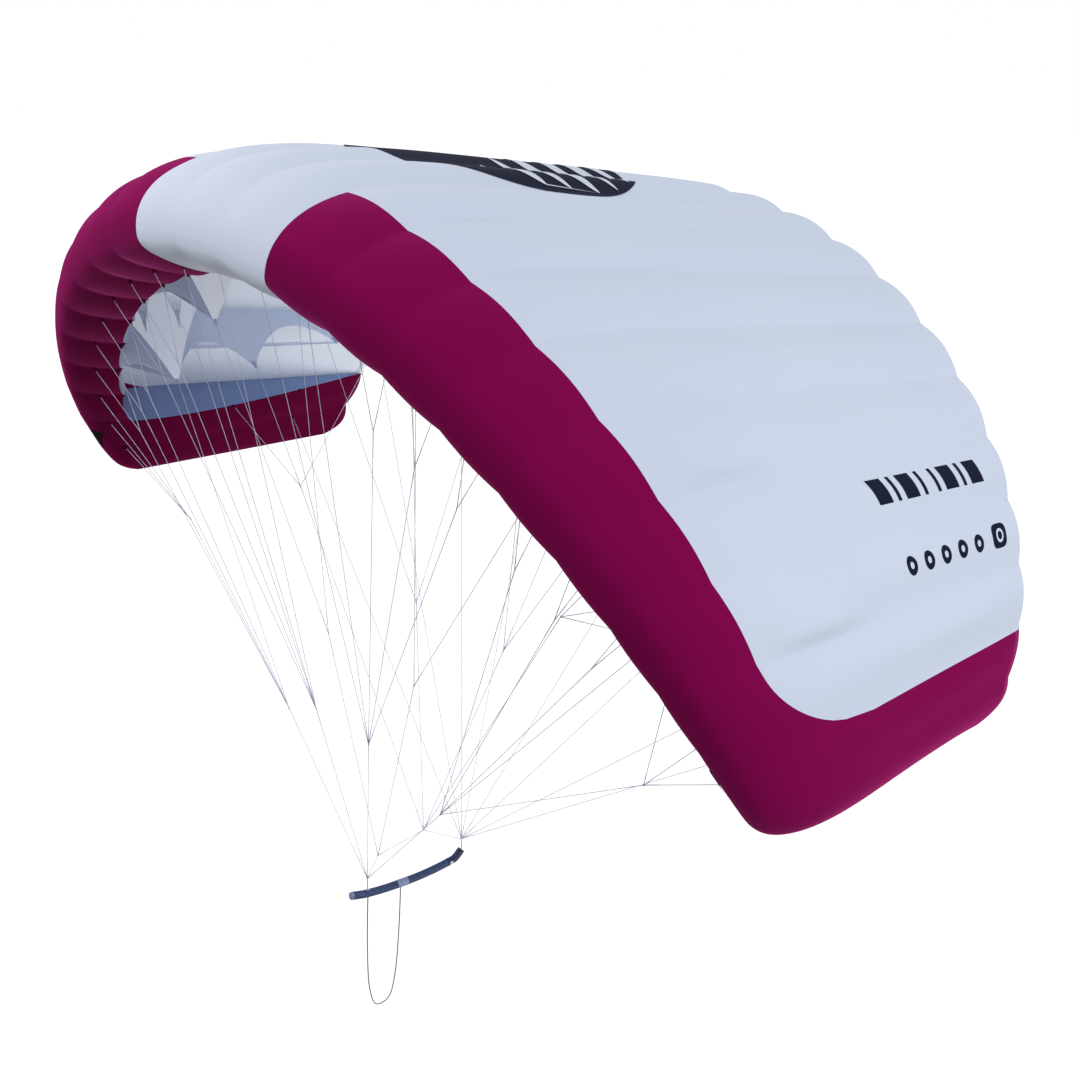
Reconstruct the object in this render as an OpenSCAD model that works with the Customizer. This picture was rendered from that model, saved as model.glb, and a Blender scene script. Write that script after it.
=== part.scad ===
/* [Wing plan] */
// Width of the centre cell, seam to seam
cell_w = 188; // [150:1:260]
// Chord of the wing at its centre
centre_chord = 1502; // [1200:1:1900]
// Share of the chord lost towards the tip, square term
taper = 0.564; // [0.3:0.001:0.6]
// Share of the chord given back towards the tip, fourth power term
taper_ease = 0.052; // [0:0.001:0.1]
// Share of the cell width lost towards the tip
cell_taper = 0.542; // [0.3:0.001:0.6]
// How far the leading edge sweeps back at the tip
sweep = 367; // [200:1:500]
// Extra sweep of the outermost cells
tip_sweep = 31; // [0:1:60]

/* [Arch] */
// Turn of the arch from centre to tip, linear term, degrees
arch_turn = 75.1; // [60:0.1:85]
// Turn taken off in mid span, degrees
arch_ease = 10.7; // [0:0.1:20]
// Extra turn of the tip, degrees
arch_tip = 37; // [20:0.1:45]
// Nose-down twist of the tip, degrees
washout = 1.95; // [0:0.05:5]

/* [Aerofoil] */
// Fullness of the upper curve at the nose
upper_nose = 0.392; // [0.3:0.001:0.45]
// Fullness of the upper curve in mid chord
upper_mid = 0.125; // [0.08:0.001:0.2]
// Fullness of the upper curve at the rear
upper_rear = 0.164; // [0.1:0.001:0.25]
// Fullness of the lower curve at the nose
lower_nose = 0.203; // [0.15:0.001:0.26]
// Fullness of the lower curve at the rear
lower_rear = 0.155; // [0.1:0.001:0.2]
// Thickness of the wing at its trailing edge
edge_h = 4; // [3.4:0.1:8]

/* [Skins] */
// Thickness of every skin
skin_t = 1.2; // [0.8:0.1:1.5]
// Thickness of every rib
rib_t = 1.6; // [1:0.1:3]
// Greatest height of the billow between two ribs
billow = 28; // [5:1:40]
// Depth of the scallops between the ribs at the trailing edge
scallop = 7; // [0:1:25]
// Chord share of the nose panels on top
band_top = 0.12; // [0.08:0.005:0.18]
// Chord share of the nose pocket underneath
pocket = 0.137; // [0.11:0.001:0.2]

/* [Ribs] */
// Height of the light ribs behind the pocket
light_rib_h = 42; // [25:1:60]
// Chord share of the front line row
row_a = 0.068; // [0.05:0.001:0.09]
// Chord share of the second line row
row_b = 0.257; // [0.22:0.001:0.3]
// Chord share of the third line row
row_c = 0.48; // [0.42:0.001:0.55]
// Chord share of the fourth line row
row_d = 0.74; // [0.68:0.001:0.8]
// Depth of the deep ribs at the second row, share of the chord
depth_b = 0.121; // [0.09:0.001:0.14]
// Depth of the deep ribs at the third row, share of the chord
depth_c = 0.11; // [0.08:0.001:0.13]
// Depth of the deep ribs at the fourth row, share of the chord
depth_d = 0.07; // [0.04:0.001:0.09]
// Width of the foot of each rib point
foot_w = 14; // [8:1:25]
// Width of the ports through the ribs inside the nose pocket
port_d = 44; // [20:1:60]

/* [Lines] */
// Thickness of the bridle lines
line_d = 1.4; // [1:0.1:2.5]
// Diameter of the knots of the bridle
knot_d = 7; // [5:0.5:10]
// Length of the sewn line tabs
tab_l = 12; // [8:1:20]
// Width of the sewn line tabs
tab_w = 8; // [5:1:12]
// Thickness of the leaders on the bar
leader_d = 3; // [2:0.1:4]
// Diameter of the harness loop's rope
loop_d = 3.2; // [2.5:0.1:5]

/* [Bar] */
// Outside diameter of the bar's tube
tube_d = 14; // [12:0.5:16]
// Wall of the bar's tube
tube_wall = 1.5; // [1:0.1:2.5]
// Outside diameter of the grips
grip_d = 19.5; // [18:0.5:24]
// Outside diameter of the hub sleeve
hub_d = 20.5; // [19:0.5:25]
// Length of the hub sleeve
hub_l = 34; // [24:1:50]
// Slope of the hub, front end up, degrees
hub_tilt = 2.5; // [0:0.5:12]
// Bend radius of the bar's long curve
bar_bend = 800; // [500:10:1200]
// Length along the curve from the hub to the front line
front_arm = 84; // [70:1:120]
// Radius of the front bend
front_bend = 80; // [50:1:120]
// Angle of the front bend, degrees
front_turn = 6; // [2:0.5:15]
// Straight length of the front end
front_end = 33; // [25:1:80]
// Length along the curve from the hub to the rear bend
rear_arm = 132; // [110:1:170]
// Radius of the rear bend
tip_bend = 30; // [24:1:45]
// Angle of the rear bend, degrees
tip_turn = 36; // [20:1:60]
// Straight length of the rear end
tip_end = 17; // [12:1:45]
// Bore of the front ferrule and the rear plug
line_bore = 3.6; // [3.2:0.1:5]
// Bore of the side eyelet
eyelet_bore = 5; // [4:0.5:7]

/* [Hidden] */

// Cells are counted from the centre of the wing: rib n stands at n - 0.5 cells, the tip at 11.5.
rib_count = 11;
tip_u = 11.5;
deep_ribs = [2, 5, 8];
centre_end = 1.5;
inner_end = 5.5;
outer_end = 9.5;
full_from = 10;

// The nose of the centre section, seen from the hub of the bar.
nose_y = -502;
nose_z = 1751;

// Steps of the surface grids, along the chord and across each cell.
nose_steps = 10;
skin_steps = 8;
cell_steps = 4;
arch_steps = 46;
seat_gap = 0.3;
edge_round = 0.06;
// The cloth stands highest in mid chord, this power of the chord share being half there. It is
// lower at both edges and, within a short reach, at the nose. The trailing edge curves in between
// the ribs from a share of the chord on, and the seam of each tip is drawn in at both ends.
billow_power = 1.6;
edge_billow = 0.48;
nose_billow = 0.1;
nose_reach = 0.2;
scallop_from = 0.75;
tip_trim = 0.16;

// Ribs: height of the port, rise of the arches between the feet, end of the last arch and
// stations of a light rib's lower edge.
port_z = 0.018;
arch_rise = [0.03, 0.095, 0.085, 0.035];
arch_end = 0.97;
light_x = [0.17, 0.24, 0.35, 0.5, 0.65, 0.8, 0.93];
brake_x = 0.985;
// The ribs whose nose line ends in a fork, where the rear leg of the fork is tied, and how far
// below the rib the two legs meet.
fork_ribs = [3 : 8];
fork_x = 0.125;
fork_drop = 205;
knot_sides = 12;
knot_share = [0.6, 0.8];

// Webs: chord shares of the top edge, its drop below the skin, and the slots as shares of the
// web's half width (place, half opening) and height (top, depth).
web_top = [0.13, 0.36];
web_rise = 4;
web_drop = 8;
slot_x = [0.34, 0.16];
slot_y = [0.86, 0.36];

// Bar: fits of its small parts.
ferrule_wall = 1.2;
ferrule_lip = 1.5;
rope_gap = 0.3;
drill_gap = 0.25;
drill_sides = 12;
shank_gap = 0.1;
leader_gap = 0.8;
seat_l = 16;
bar_sides = 24;
bend_steps = 4;
loop_seat = 4;
plug_t = 4;
plug_depth = 14;

magenta = "#7a0a4a";
white = "#d4dce6";
navy = "#2b3358";
slate = "#5c6c96";
rib_blue = "#b9c4de";
metal = "#8a90a0";
lilac = "#8c94c0";

// ---- Plan and arch of the wing ----
function q_of(u) = u / tip_u;
function turn(u) = let (q = q_of(u)) arch_turn * q - arch_ease * q ^ 3 + arch_tip * q ^ 5;
function width_at(u) = cell_w * (1 - cell_taper * q_of(u) ^ 2);
function chord(u) = let (q = q_of(u)) centre_chord * (1 - taper * q ^ 2 + taper_ease * q ^ 4);
function sweep_at(u) = let (q = q_of(u)) sweep * q ^ 2 + tip_sweep * q ^ 4;
function pitch(u) = washout * q_of(u) ^ 2;
// Midpoint rule along the arch, from the centre out to u.
function arch_sum(u, i) = i == 0 ? [0, 0] :
  let (du = u / arch_steps, m = (i - 0.5) * du, w = width_at(m) * du)
  arch_sum(u, i - 1) + [w * cos(turn(m)), -w * sin(turn(m))];
function arch(u) = arch_sum(u, arch_steps);

// ---- Aerofoil: s runs from 1 at the upper trailing edge over 0 at the nose to -1 below ----
function upper(x) = sqrt(x) * (1 - x)
  * (upper_nose * (1 - x) ^ 2 + 2 * upper_mid * x * (1 - x) + upper_rear * x ^ 2);
function lower(x) = -sqrt(x) * (1 - x) * (lower_nose * (1 - x) + lower_rear * x);
function edge_z(s) = edge_h / 2 * sin(90 * max(-1, min(1, s / edge_round)));
function foil_z(s, c, full) = full * (s > 0 ? upper(s * s) : lower(s * s)) * c + edge_z(s);
// One point of the section at u, in the rib's own plane; trim draws the chord in about its middle.
function section(u, s, full = 1, trim = 0) = let (c = chord(u))
  [c * (s * s + trim * (0.5 - s * s)), foil_z(s, c, full)];
function section_normal(u, s, full = 1, trim = 0) =
  let (d = section(u, s + 0.01, full, trim) - section(u, s - 0.01, full, trim)) [-d.y, d.x] / norm(d);
// A point of the rib's plane carried to its place, off it by side.
function place(u, p, side = 0) = let (a = turn(u), f = pitch(u), o = arch(u),
    y = p.x * cos(f) + p.y * sin(f), h = -p.x * sin(f) + p.y * cos(f))
  [o.x + h * sin(a) + side * cos(a), nose_y + sweep_at(u) + y, nose_z + o.y + h * cos(a) - side * sin(a)];
function place_dir(u, p) = place(u, p) - place(u, [0, 0]);
function mirror_x(p) = [-p.x, p.y, p.z];

// ---- Skins ----
// Stations along the chord from s0 to s1, and the billow and scallop of a cell at each.
function stations(s0, s1, n) = [for (i = [0 : n]) s0 + (s1 - s0) * i / n];
nose_s = stations(sqrt(band_top), -sqrt(pocket), nose_steps);
skin_s = stations(1, sqrt(band_top), skin_steps);
under_s = stations(-sqrt(pocket), -1, skin_steps);
function billow_at(s) = billow
  * (edge_billow + (1 - edge_billow) * sin(180 * abs(s) ^ (2 * billow_power)))
  * (1 - (1 - nose_billow) * exp(-(s / nose_reach) ^ 2));
function scallop_at(s) = scallop * max(0, (s * s - scallop_from) / (1 - scallop_from));
// Outer (in = 0) or inner (in = 1) point of the skin on rib u, off its plane by side.
function skin_point(u, s, in, side) = u < 0 ? mirror_x(skin_point(-u, s, in, -side))
  : place(u, section(u, s) - in * skin_t * section_normal(u, s), side);
function skin_dir(u, s) = u < 0 ? mirror_x(skin_dir(-u, s)) : place_dir(u, section_normal(u, s));
// The same for the cell between ribs u0 and u1, at share t across it; a narrow cell bulges less.
function cell_point(u0, u1, t, s, in) =
  skin_point(u0, s, in, rib_t / 2) * (1 - t) + skin_point(u1, s, in, -rib_t / 2) * t
  + 4 * t * (1 - t) * width_at((u0 + u1) / 2) / cell_w
  * (billow_at(s) * (skin_dir(u0, s) + skin_dir(u1, s)) / 2 + [0, scallop_at(s), 0]);
// The last cell closes to a flat seam with round corners at the tip.
function tip_point(u0, t, s, in) =
  let (u = u0 + (tip_u - u0) * t, full = sqrt(1 - t ^ 2.2), trim = tip_trim * t ^ 4)
  place(u, section(u, s, full, trim) - in * skin_t * section_normal(u, s, full, trim), rib_t / 2 * (1 - t));
// A closed shell from a grid of outer points over a grid of inner points.
function shell_points(outer, inner) = [for (grid = [outer, inner]) for (row = grid) each row];
function shell_faces(nj, ni) = let (w = ni + 1, k = (nj + 1) * w) concat(
  [for (j = [0 : nj - 1]) for (i = [0 : ni - 1]) each
    [[j * w + i, j * w + i + 1, (j + 1) * w + i + 1], [j * w + i, (j + 1) * w + i + 1, (j + 1) * w + i],
     [k + j * w + i, k + (j + 1) * w + i + 1, k + j * w + i + 1],
     [k + j * w + i, k + (j + 1) * w + i, k + (j + 1) * w + i + 1]]],
  [for (i = [0 : ni - 1]) each
    [[i, k + i + 1, i + 1], [i, k + i, k + i + 1],
     [nj * w + i, nj * w + i + 1, k + nj * w + i + 1], [nj * w + i, k + nj * w + i + 1, k + nj * w + i]]],
  [for (j = [0 : nj - 1]) each
    [[j * w, (j + 1) * w, k + j * w], [(j + 1) * w, k + (j + 1) * w, k + j * w],
     [j * w + ni, k + j * w + ni, (j + 1) * w + ni],
     [(j + 1) * w + ni, k + j * w + ni, k + (j + 1) * w + ni]]]);
module shell(outer, inner)
  polyhedron(shell_points(outer, inner), shell_faces(len(outer) - 1, len(outer[0]) - 1), convexity = 4);
module cell(u0, u1, ss) {
  ts = [for (i = [0 : cell_steps]) i / cell_steps];
  shell([for (s = ss) [for (t = ts) cell_point(u0, u1, t, s, 0)]],
    [for (s = ss) [for (t = ts) cell_point(u0, u1, t, s, 1)]]);
}
module cells(first, last, ss) for (u = [first : last - 1]) cell(u, u + 1, ss);
module on_side(side) mirror([side == "right" ? 1 : 0, 0, 0]) children();

module centre_cells(ss) {
  cell(-0.5, 0.5, ss);
  cell(0.5, centre_end, ss);
  mirror([1, 0, 0]) cell(0.5, centre_end, ss);
}
module nose_centre() color(white) centre_cells(nose_s);
module skin_centre() color(white) centre_cells(skin_s);
module nose_inner(side) color(magenta) on_side(side) cells(centre_end, inner_end, nose_s);
module nose_outer(side) color(magenta) on_side(side) cells(inner_end, outer_end, nose_s);
module skin_inner(side) color(white) on_side(side) cells(centre_end, inner_end, skin_s);
module skin_outer(side) color(white) on_side(side) cells(inner_end, outer_end, skin_s);
module tip_pocket(side) color(magenta) on_side(side) {
  all_s = concat(skin_s, part_of(nose_s, 1, nose_steps), part_of(under_s, 1, skin_steps));
  ts = [for (i = [0 : cell_steps + 2]) sin(90 * i / (cell_steps + 2))];
  cell(outer_end, outer_end + 1, all_s);
  shell([for (s = all_s) [for (t = ts) tip_point(outer_end + 1, t, s, 0)]],
    [for (s = all_s) [for (t = ts) tip_point(outer_end + 1, t, s, 1)]]);
}

// ---- Ribs ----
// Lower edge behind the pocket: points at the line rows with arches between them.
function arch_edge(x0, z0, x1, z1, rise) = [for (i = [1 : 7]) let (t = i / 8)
  [x0 + (x1 - x0) * t, z0 + (z1 - z0) * t + rise * sin(180 * t) ^ 0.8]];
function foot(x, z, c) = [[x - foot_w / 2 / c, z], [x + foot_w / 2 / c, z]];
function deep_edge(c) = concat(
  arch_edge(pocket, lower(pocket), row_b - foot_w / 2 / c, -depth_b, arch_rise[0]),
  foot(row_b, -depth_b, c),
  arch_edge(row_b + foot_w / 2 / c, -depth_b, row_c - foot_w / 2 / c, -depth_c, arch_rise[1]),
  foot(row_c, -depth_c, c),
  arch_edge(row_c + foot_w / 2 / c, -depth_c, row_d - foot_w / 2 / c, -depth_d, arch_rise[2]),
  foot(row_d, -depth_d, c),
  arch_edge(row_d + foot_w / 2 / c, -depth_d, arch_end, 0, arch_rise[3]));
function light_edge(c) = [for (x = light_x)
  [x, upper(x) - light_rib_h / c * (1 - x) ^ 0.6]];
function rib_outline(n) = let (u = n - 0.5, c = chord(u)) concat(
  [for (s = skin_s) section(u, s)],
  [for (i = [1 : nose_steps]) section(u, nose_s[i])],
  n >= full_from ? [for (i = [1 : skin_steps]) section(u, under_s[i])]
    : [for (p = (len(search(n, deep_ribs)) > 0 ? deep_edge(c) : light_edge(c))) p * c]);
module on_rib(n) let (u = n - 0.5, o = arch(u)) translate([o.x, nose_y + sweep_at(u), nose_z + o.y])
  rotate([0, turn(u), 0]) rotate([-pitch(u), 0, 0]) children();
module rib(n, side) color(n >= full_from ? slate : rib_blue) on_side(side)
  on_rib(n) rotate([90, 0, 90]) translate([0, 0, -rib_t / 2]) linear_extrude(rib_t) difference() {
    polygon(rib_outline(n));
    translate([row_a, port_z] * chord(n - 0.5)) circle(d = port_d, $fn = 12);
  }

// ---- Diagonal webs: from a deep rib's second row point up to the skin at the next light rib ----
module slot2d(x, y, w, h) polygon([[x - w / 2, y], [x + w / 2, y], [x, y - h]]);
module diagonal_web(n, step) {
  u = n - 0.5;
  v = u + step;
  side = step * (rib_t / 2 + skin_t / 2 + seat_gap);
  z_low = -depth_b * chord(u) + web_rise;
  z_high = min([for (x = web_top) upper(x)]) * chord(v) - web_drop;
  low = [for (k = [-1, 1]) place(u, [row_b * chord(u) + k * foot_w / 2, z_low], side)];
  high = [for (x = web_top) place(v, [x * chord(v), z_high], -side)];
  mid_low = (low[0] + low[1]) / 2;
  mid_high = (high[0] + high[1]) / 2;
  up = [mid_high.x - mid_low.x, 0, mid_high.z - mid_low.z];
  h = norm(up);
  e = up / h;
  half = abs(high[1].y - high[0].y) / 2;
  lean = mid_high.y - mid_low.y;
  multmatrix([[0, e.x, -e.z, mid_low.x], [1, 0, 0, mid_low.y], [0, e.z, e.x, mid_low.z], [0, 0, 0, 1]])
    translate([0, 0, -skin_t / 2]) linear_extrude(skin_t) difference() {
      polygon([[-foot_w / 2, 0], [foot_w / 2, 0], [lean + half, h], [lean - half, h]]);
      for (k = [-1, 1])
        slot2d(lean + k * half * slot_x[0], h * slot_y[0], 2 * half * slot_x[1], h * slot_y[1]);
    }
}
module diagonal_webs(side) color(white) on_side(side)
  for (n = deep_ribs) for (step = [-1, 1]) diagonal_web(n, step);

// ---- Line tabs and bridle ----
// Height of rib n's lower edge at chord share x: the aerofoil at row A and at the tip, else a foot.
function under_z(x, c) = foil_z(-sqrt(x), c, 1);
function row_z(n, x) = let (c = chord(n - 0.5), h = tab_w / 2 / c)
  x < pocket || n >= full_from ? min(under_z(x - h, c), under_z(x + h, c))
    : -c * (x == row_b ? depth_b : x == row_c ? depth_c : depth_d);
function line_end(n, x) = let (u = n - 0.5)
  place(u, [x * chord(u), row_z(n, x) - tab_l - 3 * seat_gap]);
function brake_end(n) = let (u = n - 0.5) place(u, [brake_x * chord(u), -edge_h / 2 - line_d]);
tab_rows = concat([for (n = [1 : rib_count]) [n, row_a]], [for (n = fork_ribs) [n, fork_x]],
  [for (n = deep_ribs) for (x = [row_b, row_c, row_d]) [n, x]],
  [for (n = [full_from : rib_count]) for (x = [row_c, row_d]) [n, x]]);
module tab(n, x) on_rib(n)
  translate([-rib_t / 2, x * chord(n - 0.5) - tab_w / 2, row_z(n, x) - seat_gap - tab_l])
    cube([rib_t, tab_w, tab_l]);
module line_tabs(side) color(slate) on_side(side) for (r = tab_rows) tab(r[0], r[1]);

// Knots of the bridle: those in the middle plane carry the bar, the others come in pairs.
second_knot = [0, -74, 112];
third_knot = [0, 71, 135];
rear_knot = [0, 197, 61];
a_outer_knot = [346, -123, 415];
a_inner_knot = [120, -174, 521];
a_tip_knot = [971, -67, 759];
b_knot = [191, -88, 682];
c_inner_knot = [189, 185, 699];
c_outer_knot = [553, 58, 951];

module rod(a, b, d) let (v = b - a, l = norm(v)) translate(a)
  rotate([0, acos(v.z / l), atan2(v.y, v.x)]) cylinder(h = l, d = d, $fn = 6);
module knot(p) translate(p)
  cylinder(h = knot_d * knot_share.x, d = knot_d * knot_share.y, center = true, $fn = knot_sides);
function toward(a, b, r) = a + (b - a) * r / norm(b - a);
// A line from a knot's middle that stops clear of another knot.
module line_to_knot(a, b) rod(a, toward(b, a, knot_d / 2 + seat_gap), line_d);
module fan(p, ends) {
  knot(p);
  for (e = ends) rod(p, e, line_d);
}
// A line from a knot that splits into two legs below rib n.
module fork(k, n) let (legs = [line_end(n, row_a), line_end(n, fork_x)],
    split = toward((legs[0] + legs[1]) / 2, k, fork_drop)) {
  rod(k, split, line_d);
  fan(split, legs);
}
module a_lines(side) color("white") on_side(side) {
  fan(a_outer_knot, [line_end(8, row_b)]);
  fan(a_tip_knot, [for (n = [9 : 11]) line_end(n, row_a)]);
  fan(a_inner_knot, [for (n = [1 : 2]) line_end(n, row_a)]);
  for (n = [3 : 5]) fork(a_inner_knot, n);
  for (n = [6 : 8]) fork(a_outer_knot, n);
  rod(a_tip_knot, a_outer_knot, line_d);
  for (k = [a_outer_knot, a_inner_knot]) line_to_knot(k, front_knot);
}
module b_lines(side) color("white") on_side(side) {
  fan(b_knot, [line_end(2, row_b), line_end(5, row_b)]);
  line_to_knot(b_knot, second_knot);
}
module c_lines(side) color("white") on_side(side) {
  fan(c_inner_knot, [line_end(2, row_c), line_end(5, row_c), line_end(2, row_d)]);
  fan(c_outer_knot, [line_end(8, row_c), line_end(10, row_c), line_end(5, row_d)]);
  for (k = [c_inner_knot, c_outer_knot]) line_to_knot(k, third_knot);
}
module brake_lines(side) color("white") on_side(side)
  for (e = [brake_end(3), brake_end(6), brake_end(9), line_end(11, row_d)])
    rod(toward(rear_knot, e, knot_d / 2 + seat_gap), e, line_d);
module spine_line() color("white") {
  for (k = [front_knot, second_knot, third_knot, rear_knot]) translate(k) rotate([90, 0, 0]) knot([0, 0, 0]);
  rod(front_knot, second_knot, line_d);
  rod(second_knot, third_knot, line_d);
  rod(third_knot, rear_knot, line_d);
}

// ---- Bar ----
// The bar lies along Y in the middle plane; its hub stands at the origin and its ends curve up.
// Its centre line is a list of stations [point, heading], the heading being the slope along +Y.
function tilt(p, a) = [0, p.y * cos(a) - p.z * sin(a), p.y * sin(a) + p.z * cos(a)];
function ahead(st, l) = [st[0] + l * [0, cos(st[1]), sin(st[1])], st[1]];
function arc(st, r, a, n) = [for (i = [1 : n]) let (b = a * i / n)
  [st[0] + tilt([0, r * sin(b), r * (1 - cos(b))], st[1]), st[1] + b]];
function last(v) = v[len(v) - 1];
function arm_curve(l) = arc([[0, hub_l / 2, 0], 0], bar_bend, l / bar_bend * 180 / PI, 3);
// From the hub outwards: the long curve, the straight seat, the end bend and the straight end.
function arm(l, r, a, l_end) = let (curve = arm_curve(l), seat = ahead(last(curve), seat_l),
  bend = arc(seat, r, a, bend_steps))
  concat([[[0, hub_l / 2, 0], 0]], curve, [seat], bend, [ahead(last(bend), l_end)]);
function to_hub(st) = [tilt(st[0], -hub_tilt), st[1] - hub_tilt];
function flip(st) = [[0, -st[0].y, st[0].z], -st[1]];
function backwards(v) = [for (i = [len(v) - 1 : -1 : 0]) v[i]];
front_arm_line = [for (st = arm(front_arm, front_bend, front_turn, front_end)) to_hub(flip(st))];
rear_arm_line = [for (st = arm(rear_arm, tip_bend, tip_turn, tip_end)) to_hub(st)];
seat_start = 3;
function middle(a, b) = [(a[0] + b[0]) / 2, a[1]];
front_line_at = middle(front_arm_line[seat_start], front_arm_line[seat_start + 1]);
eyelet_at = middle(rear_arm_line[seat_start], rear_arm_line[seat_start + 1]);
// The front knot of the bridle stands over the front line's ferrule.
front_knot = front_line_at[0] + [0, 0, 45];
module at(st) translate(st[0]) rotate([st[1], 0, 0]) children();

// A hollow length of the bar through the given stations.
function ring_points(st, r) = [for (i = [0 : bar_sides - 1]) let (a = 360 * i / bar_sides)
  st[0] + r * [cos(a), -sin(a) * sin(st[1]), sin(a) * cos(st[1])]];
function tube_faces(n, m) = let (k = n * m) concat(
  [for (j = [0 : n - 2]) for (i = [0 : m - 1]) let (a = j * m + i, b = j * m + (i + 1) % m) each
    [[a, b, b + m], [a, b + m, a + m], [k + a, k + b + m, k + b], [k + a, k + a + m, k + b + m]]],
  [for (i = [0 : m - 1]) let (b = (i + 1) % m, e = (n - 1) * m) each
    [[i, k + i, k + b], [i, k + b, b], [e + i, k + e + b, k + e + i], [e + i, e + b, k + e + b]]]);
module tube(sts, ro, ri) polyhedron(concat([for (st = sts) each ring_points(st, ro)],
  [for (st = sts) each ring_points(st, ri)]), tube_faces(len(sts), bar_sides), convexity = 6);
function part_of(v, a, b) = [for (i = [a : b]) v[i]];

// A bush along Z, and the drilled holes that take the ferrule, the eyelet and the loop's rope.
module bush(l, bore) difference() {
  cylinder(h = l, d = bore + 2 * ferrule_wall, center = true, $fn = 32);
  cylinder(h = 2 * l, d = bore, center = true, $fn = 32);
}
module drilled(bore)
  cylinder(h = 2 * grip_d, d = bore + 2 * (ferrule_wall + drill_gap), center = true, $fn = drill_sides);
module line_hole() translate(front_line_at[0]) drilled(line_bore);
module eyelet_hole() translate(eyelet_at[0]) rotate([0, 90, 0]) drilled(eyelet_bore);
module rope_hole() at([[0, 0, 0], -hub_tilt]) translate([0, -loop_seat, -hub_d])
  cylinder(h = hub_d, d = loop_d + 2 * rope_gap, $fn = drill_sides);
module bar_tube() color(metal) difference() {
  tube(concat(backwards(front_arm_line), rear_arm_line), tube_d / 2, tube_d / 2 - tube_wall);
  line_hole();
  eyelet_hole();
  rope_hole();
}
module grip_front() color(navy) difference() {
  tube(backwards(front_arm_line), grip_d / 2, tube_d / 2);
  line_hole();
}
module grip_rear() color(navy) tube(part_of(rear_arm_line, 0, seat_start), grip_d / 2, tube_d / 2);
module tip_sleeve() color("#20264a") difference() {
  tube(part_of(rear_arm_line, seat_start, len(rear_arm_line) - 1), grip_d / 2, tube_d / 2);
  eyelet_hole();
}
module hub_sleeve() color(lilac) difference() {
  at([[0, 0, 0], -hub_tilt]) rotate([90, 0, 0]) difference() {
    cylinder(h = hub_l, d = hub_d, center = true, $fn = 64);
    cylinder(h = 2 * hub_l, d = tube_d, center = true, $fn = 64);
  }
  rope_hole();
}
// An end plug along +Y, with its shank inside the tube.
module plug(bore) rotate([-90, 0, 0]) difference() {
  union() {
    cylinder(h = plug_t, d = grip_d, $fn = 48);
    translate([0, 0, -plug_depth])
      cylinder(h = plug_depth + 1, d = tube_d - 2 * (tube_wall + shank_gap), $fn = 48);
  }
  if (bore > 0) cylinder(h = 4 * plug_depth, d = bore, center = true, $fn = 32);
}
module plug_front() color(lilac) at(last(front_arm_line)) rotate([180, 0, 0]) plug(0);
module plug_rear() color(navy) at(last(rear_arm_line)) plug(line_bore);
module front_ferrule() color("silver") translate(front_line_at[0]) bush(grip_d + 2 * ferrule_lip, line_bore);
module side_eyelet() color("white") translate(eyelet_at[0]) rotate([0, 90, 0])
  bush(grip_d + 2 * ferrule_lip, eyelet_bore);

// ---- Leaders ----
// A leader hangs from the side of its knot, which lies along the line that the bar swings about.
module leader(top, foot) color("#c8cedd")
  rod(toward(top, foot, knot_d * knot_share.y / 2 + seat_gap), foot, leader_d);
module front_leader() leader(front_knot, front_line_at[0] + [0, 0, grip_d / 2 + ferrule_lip + 2 * seat_gap]);
module rear_leader() leader(rear_knot, ahead(last(rear_arm_line), plug_t + leader_gap)[0]);

// ---- Harness loop ----
loop_route = [front_line_at[0] - [0, 0, 2], front_line_at[0] - [0, 0, 18], [0, -111, -65],
  [0, -113, -159], [0, -112, -255], [0, -105, -310], [0, -98, -335], [0, -88, -349],
  [0, -73, -353], [0, -54, -348], [0, -38, -326], [0, -24, -262], [0, -15, -179],
  [0, -9, -98], [0, -5, -15], [0, -4, -2]];
loop_steps = 5;
function knot_at(k) = loop_route[max(0, min(len(loop_route) - 1, k))];
function spline(k, t) = let (a = knot_at(k - 1), b = knot_at(k), c = knot_at(k + 1), d = knot_at(k + 2))
  0.5 * (2 * b + (c - a) * t + (2 * a - 5 * b + 4 * c - d) * t ^ 2 + (3 * b - a - 3 * c + d) * t ^ 3);
loop_line = concat(
  [for (k = [0 : len(loop_route) - 2]) for (i = [0 : loop_steps - 1]) spline(k, i / loop_steps)],
  [last(loop_route)]);
function ring_at(pts, k, d, sides) = let (a = pts[max(0, k - 1)], b = pts[min(len(pts) - 1, k + 1)],
    v = (b - a) / norm(b - a), w = [0, -v.z, v.y])
  [for (i = [0 : sides - 1]) pts[k] + d / 2 * (cos(360 * i / sides) * [1, 0, 0] + sin(360 * i / sides) * w)];
module cord(pts, d, sides) {
  n = len(pts);
  polyhedron([for (k = [0 : n - 1]) each ring_at(pts, k, d, sides)], concat(
    [[for (i = [0 : sides - 1]) i]], [[for (i = [0 : sides - 1]) n * sides - 1 - i]],
    [for (k = [0 : n - 2]) for (i = [0 : sides - 1]) let (j = (i + 1) % sides) each
      [[k * sides + i, (k + 1) * sides + i, (k + 1) * sides + j],
       [k * sides + i, (k + 1) * sides + j, k * sides + j]]]));
}
module harness_loop() color("#727a98") cord(loop_line, loop_d, 8);

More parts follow.
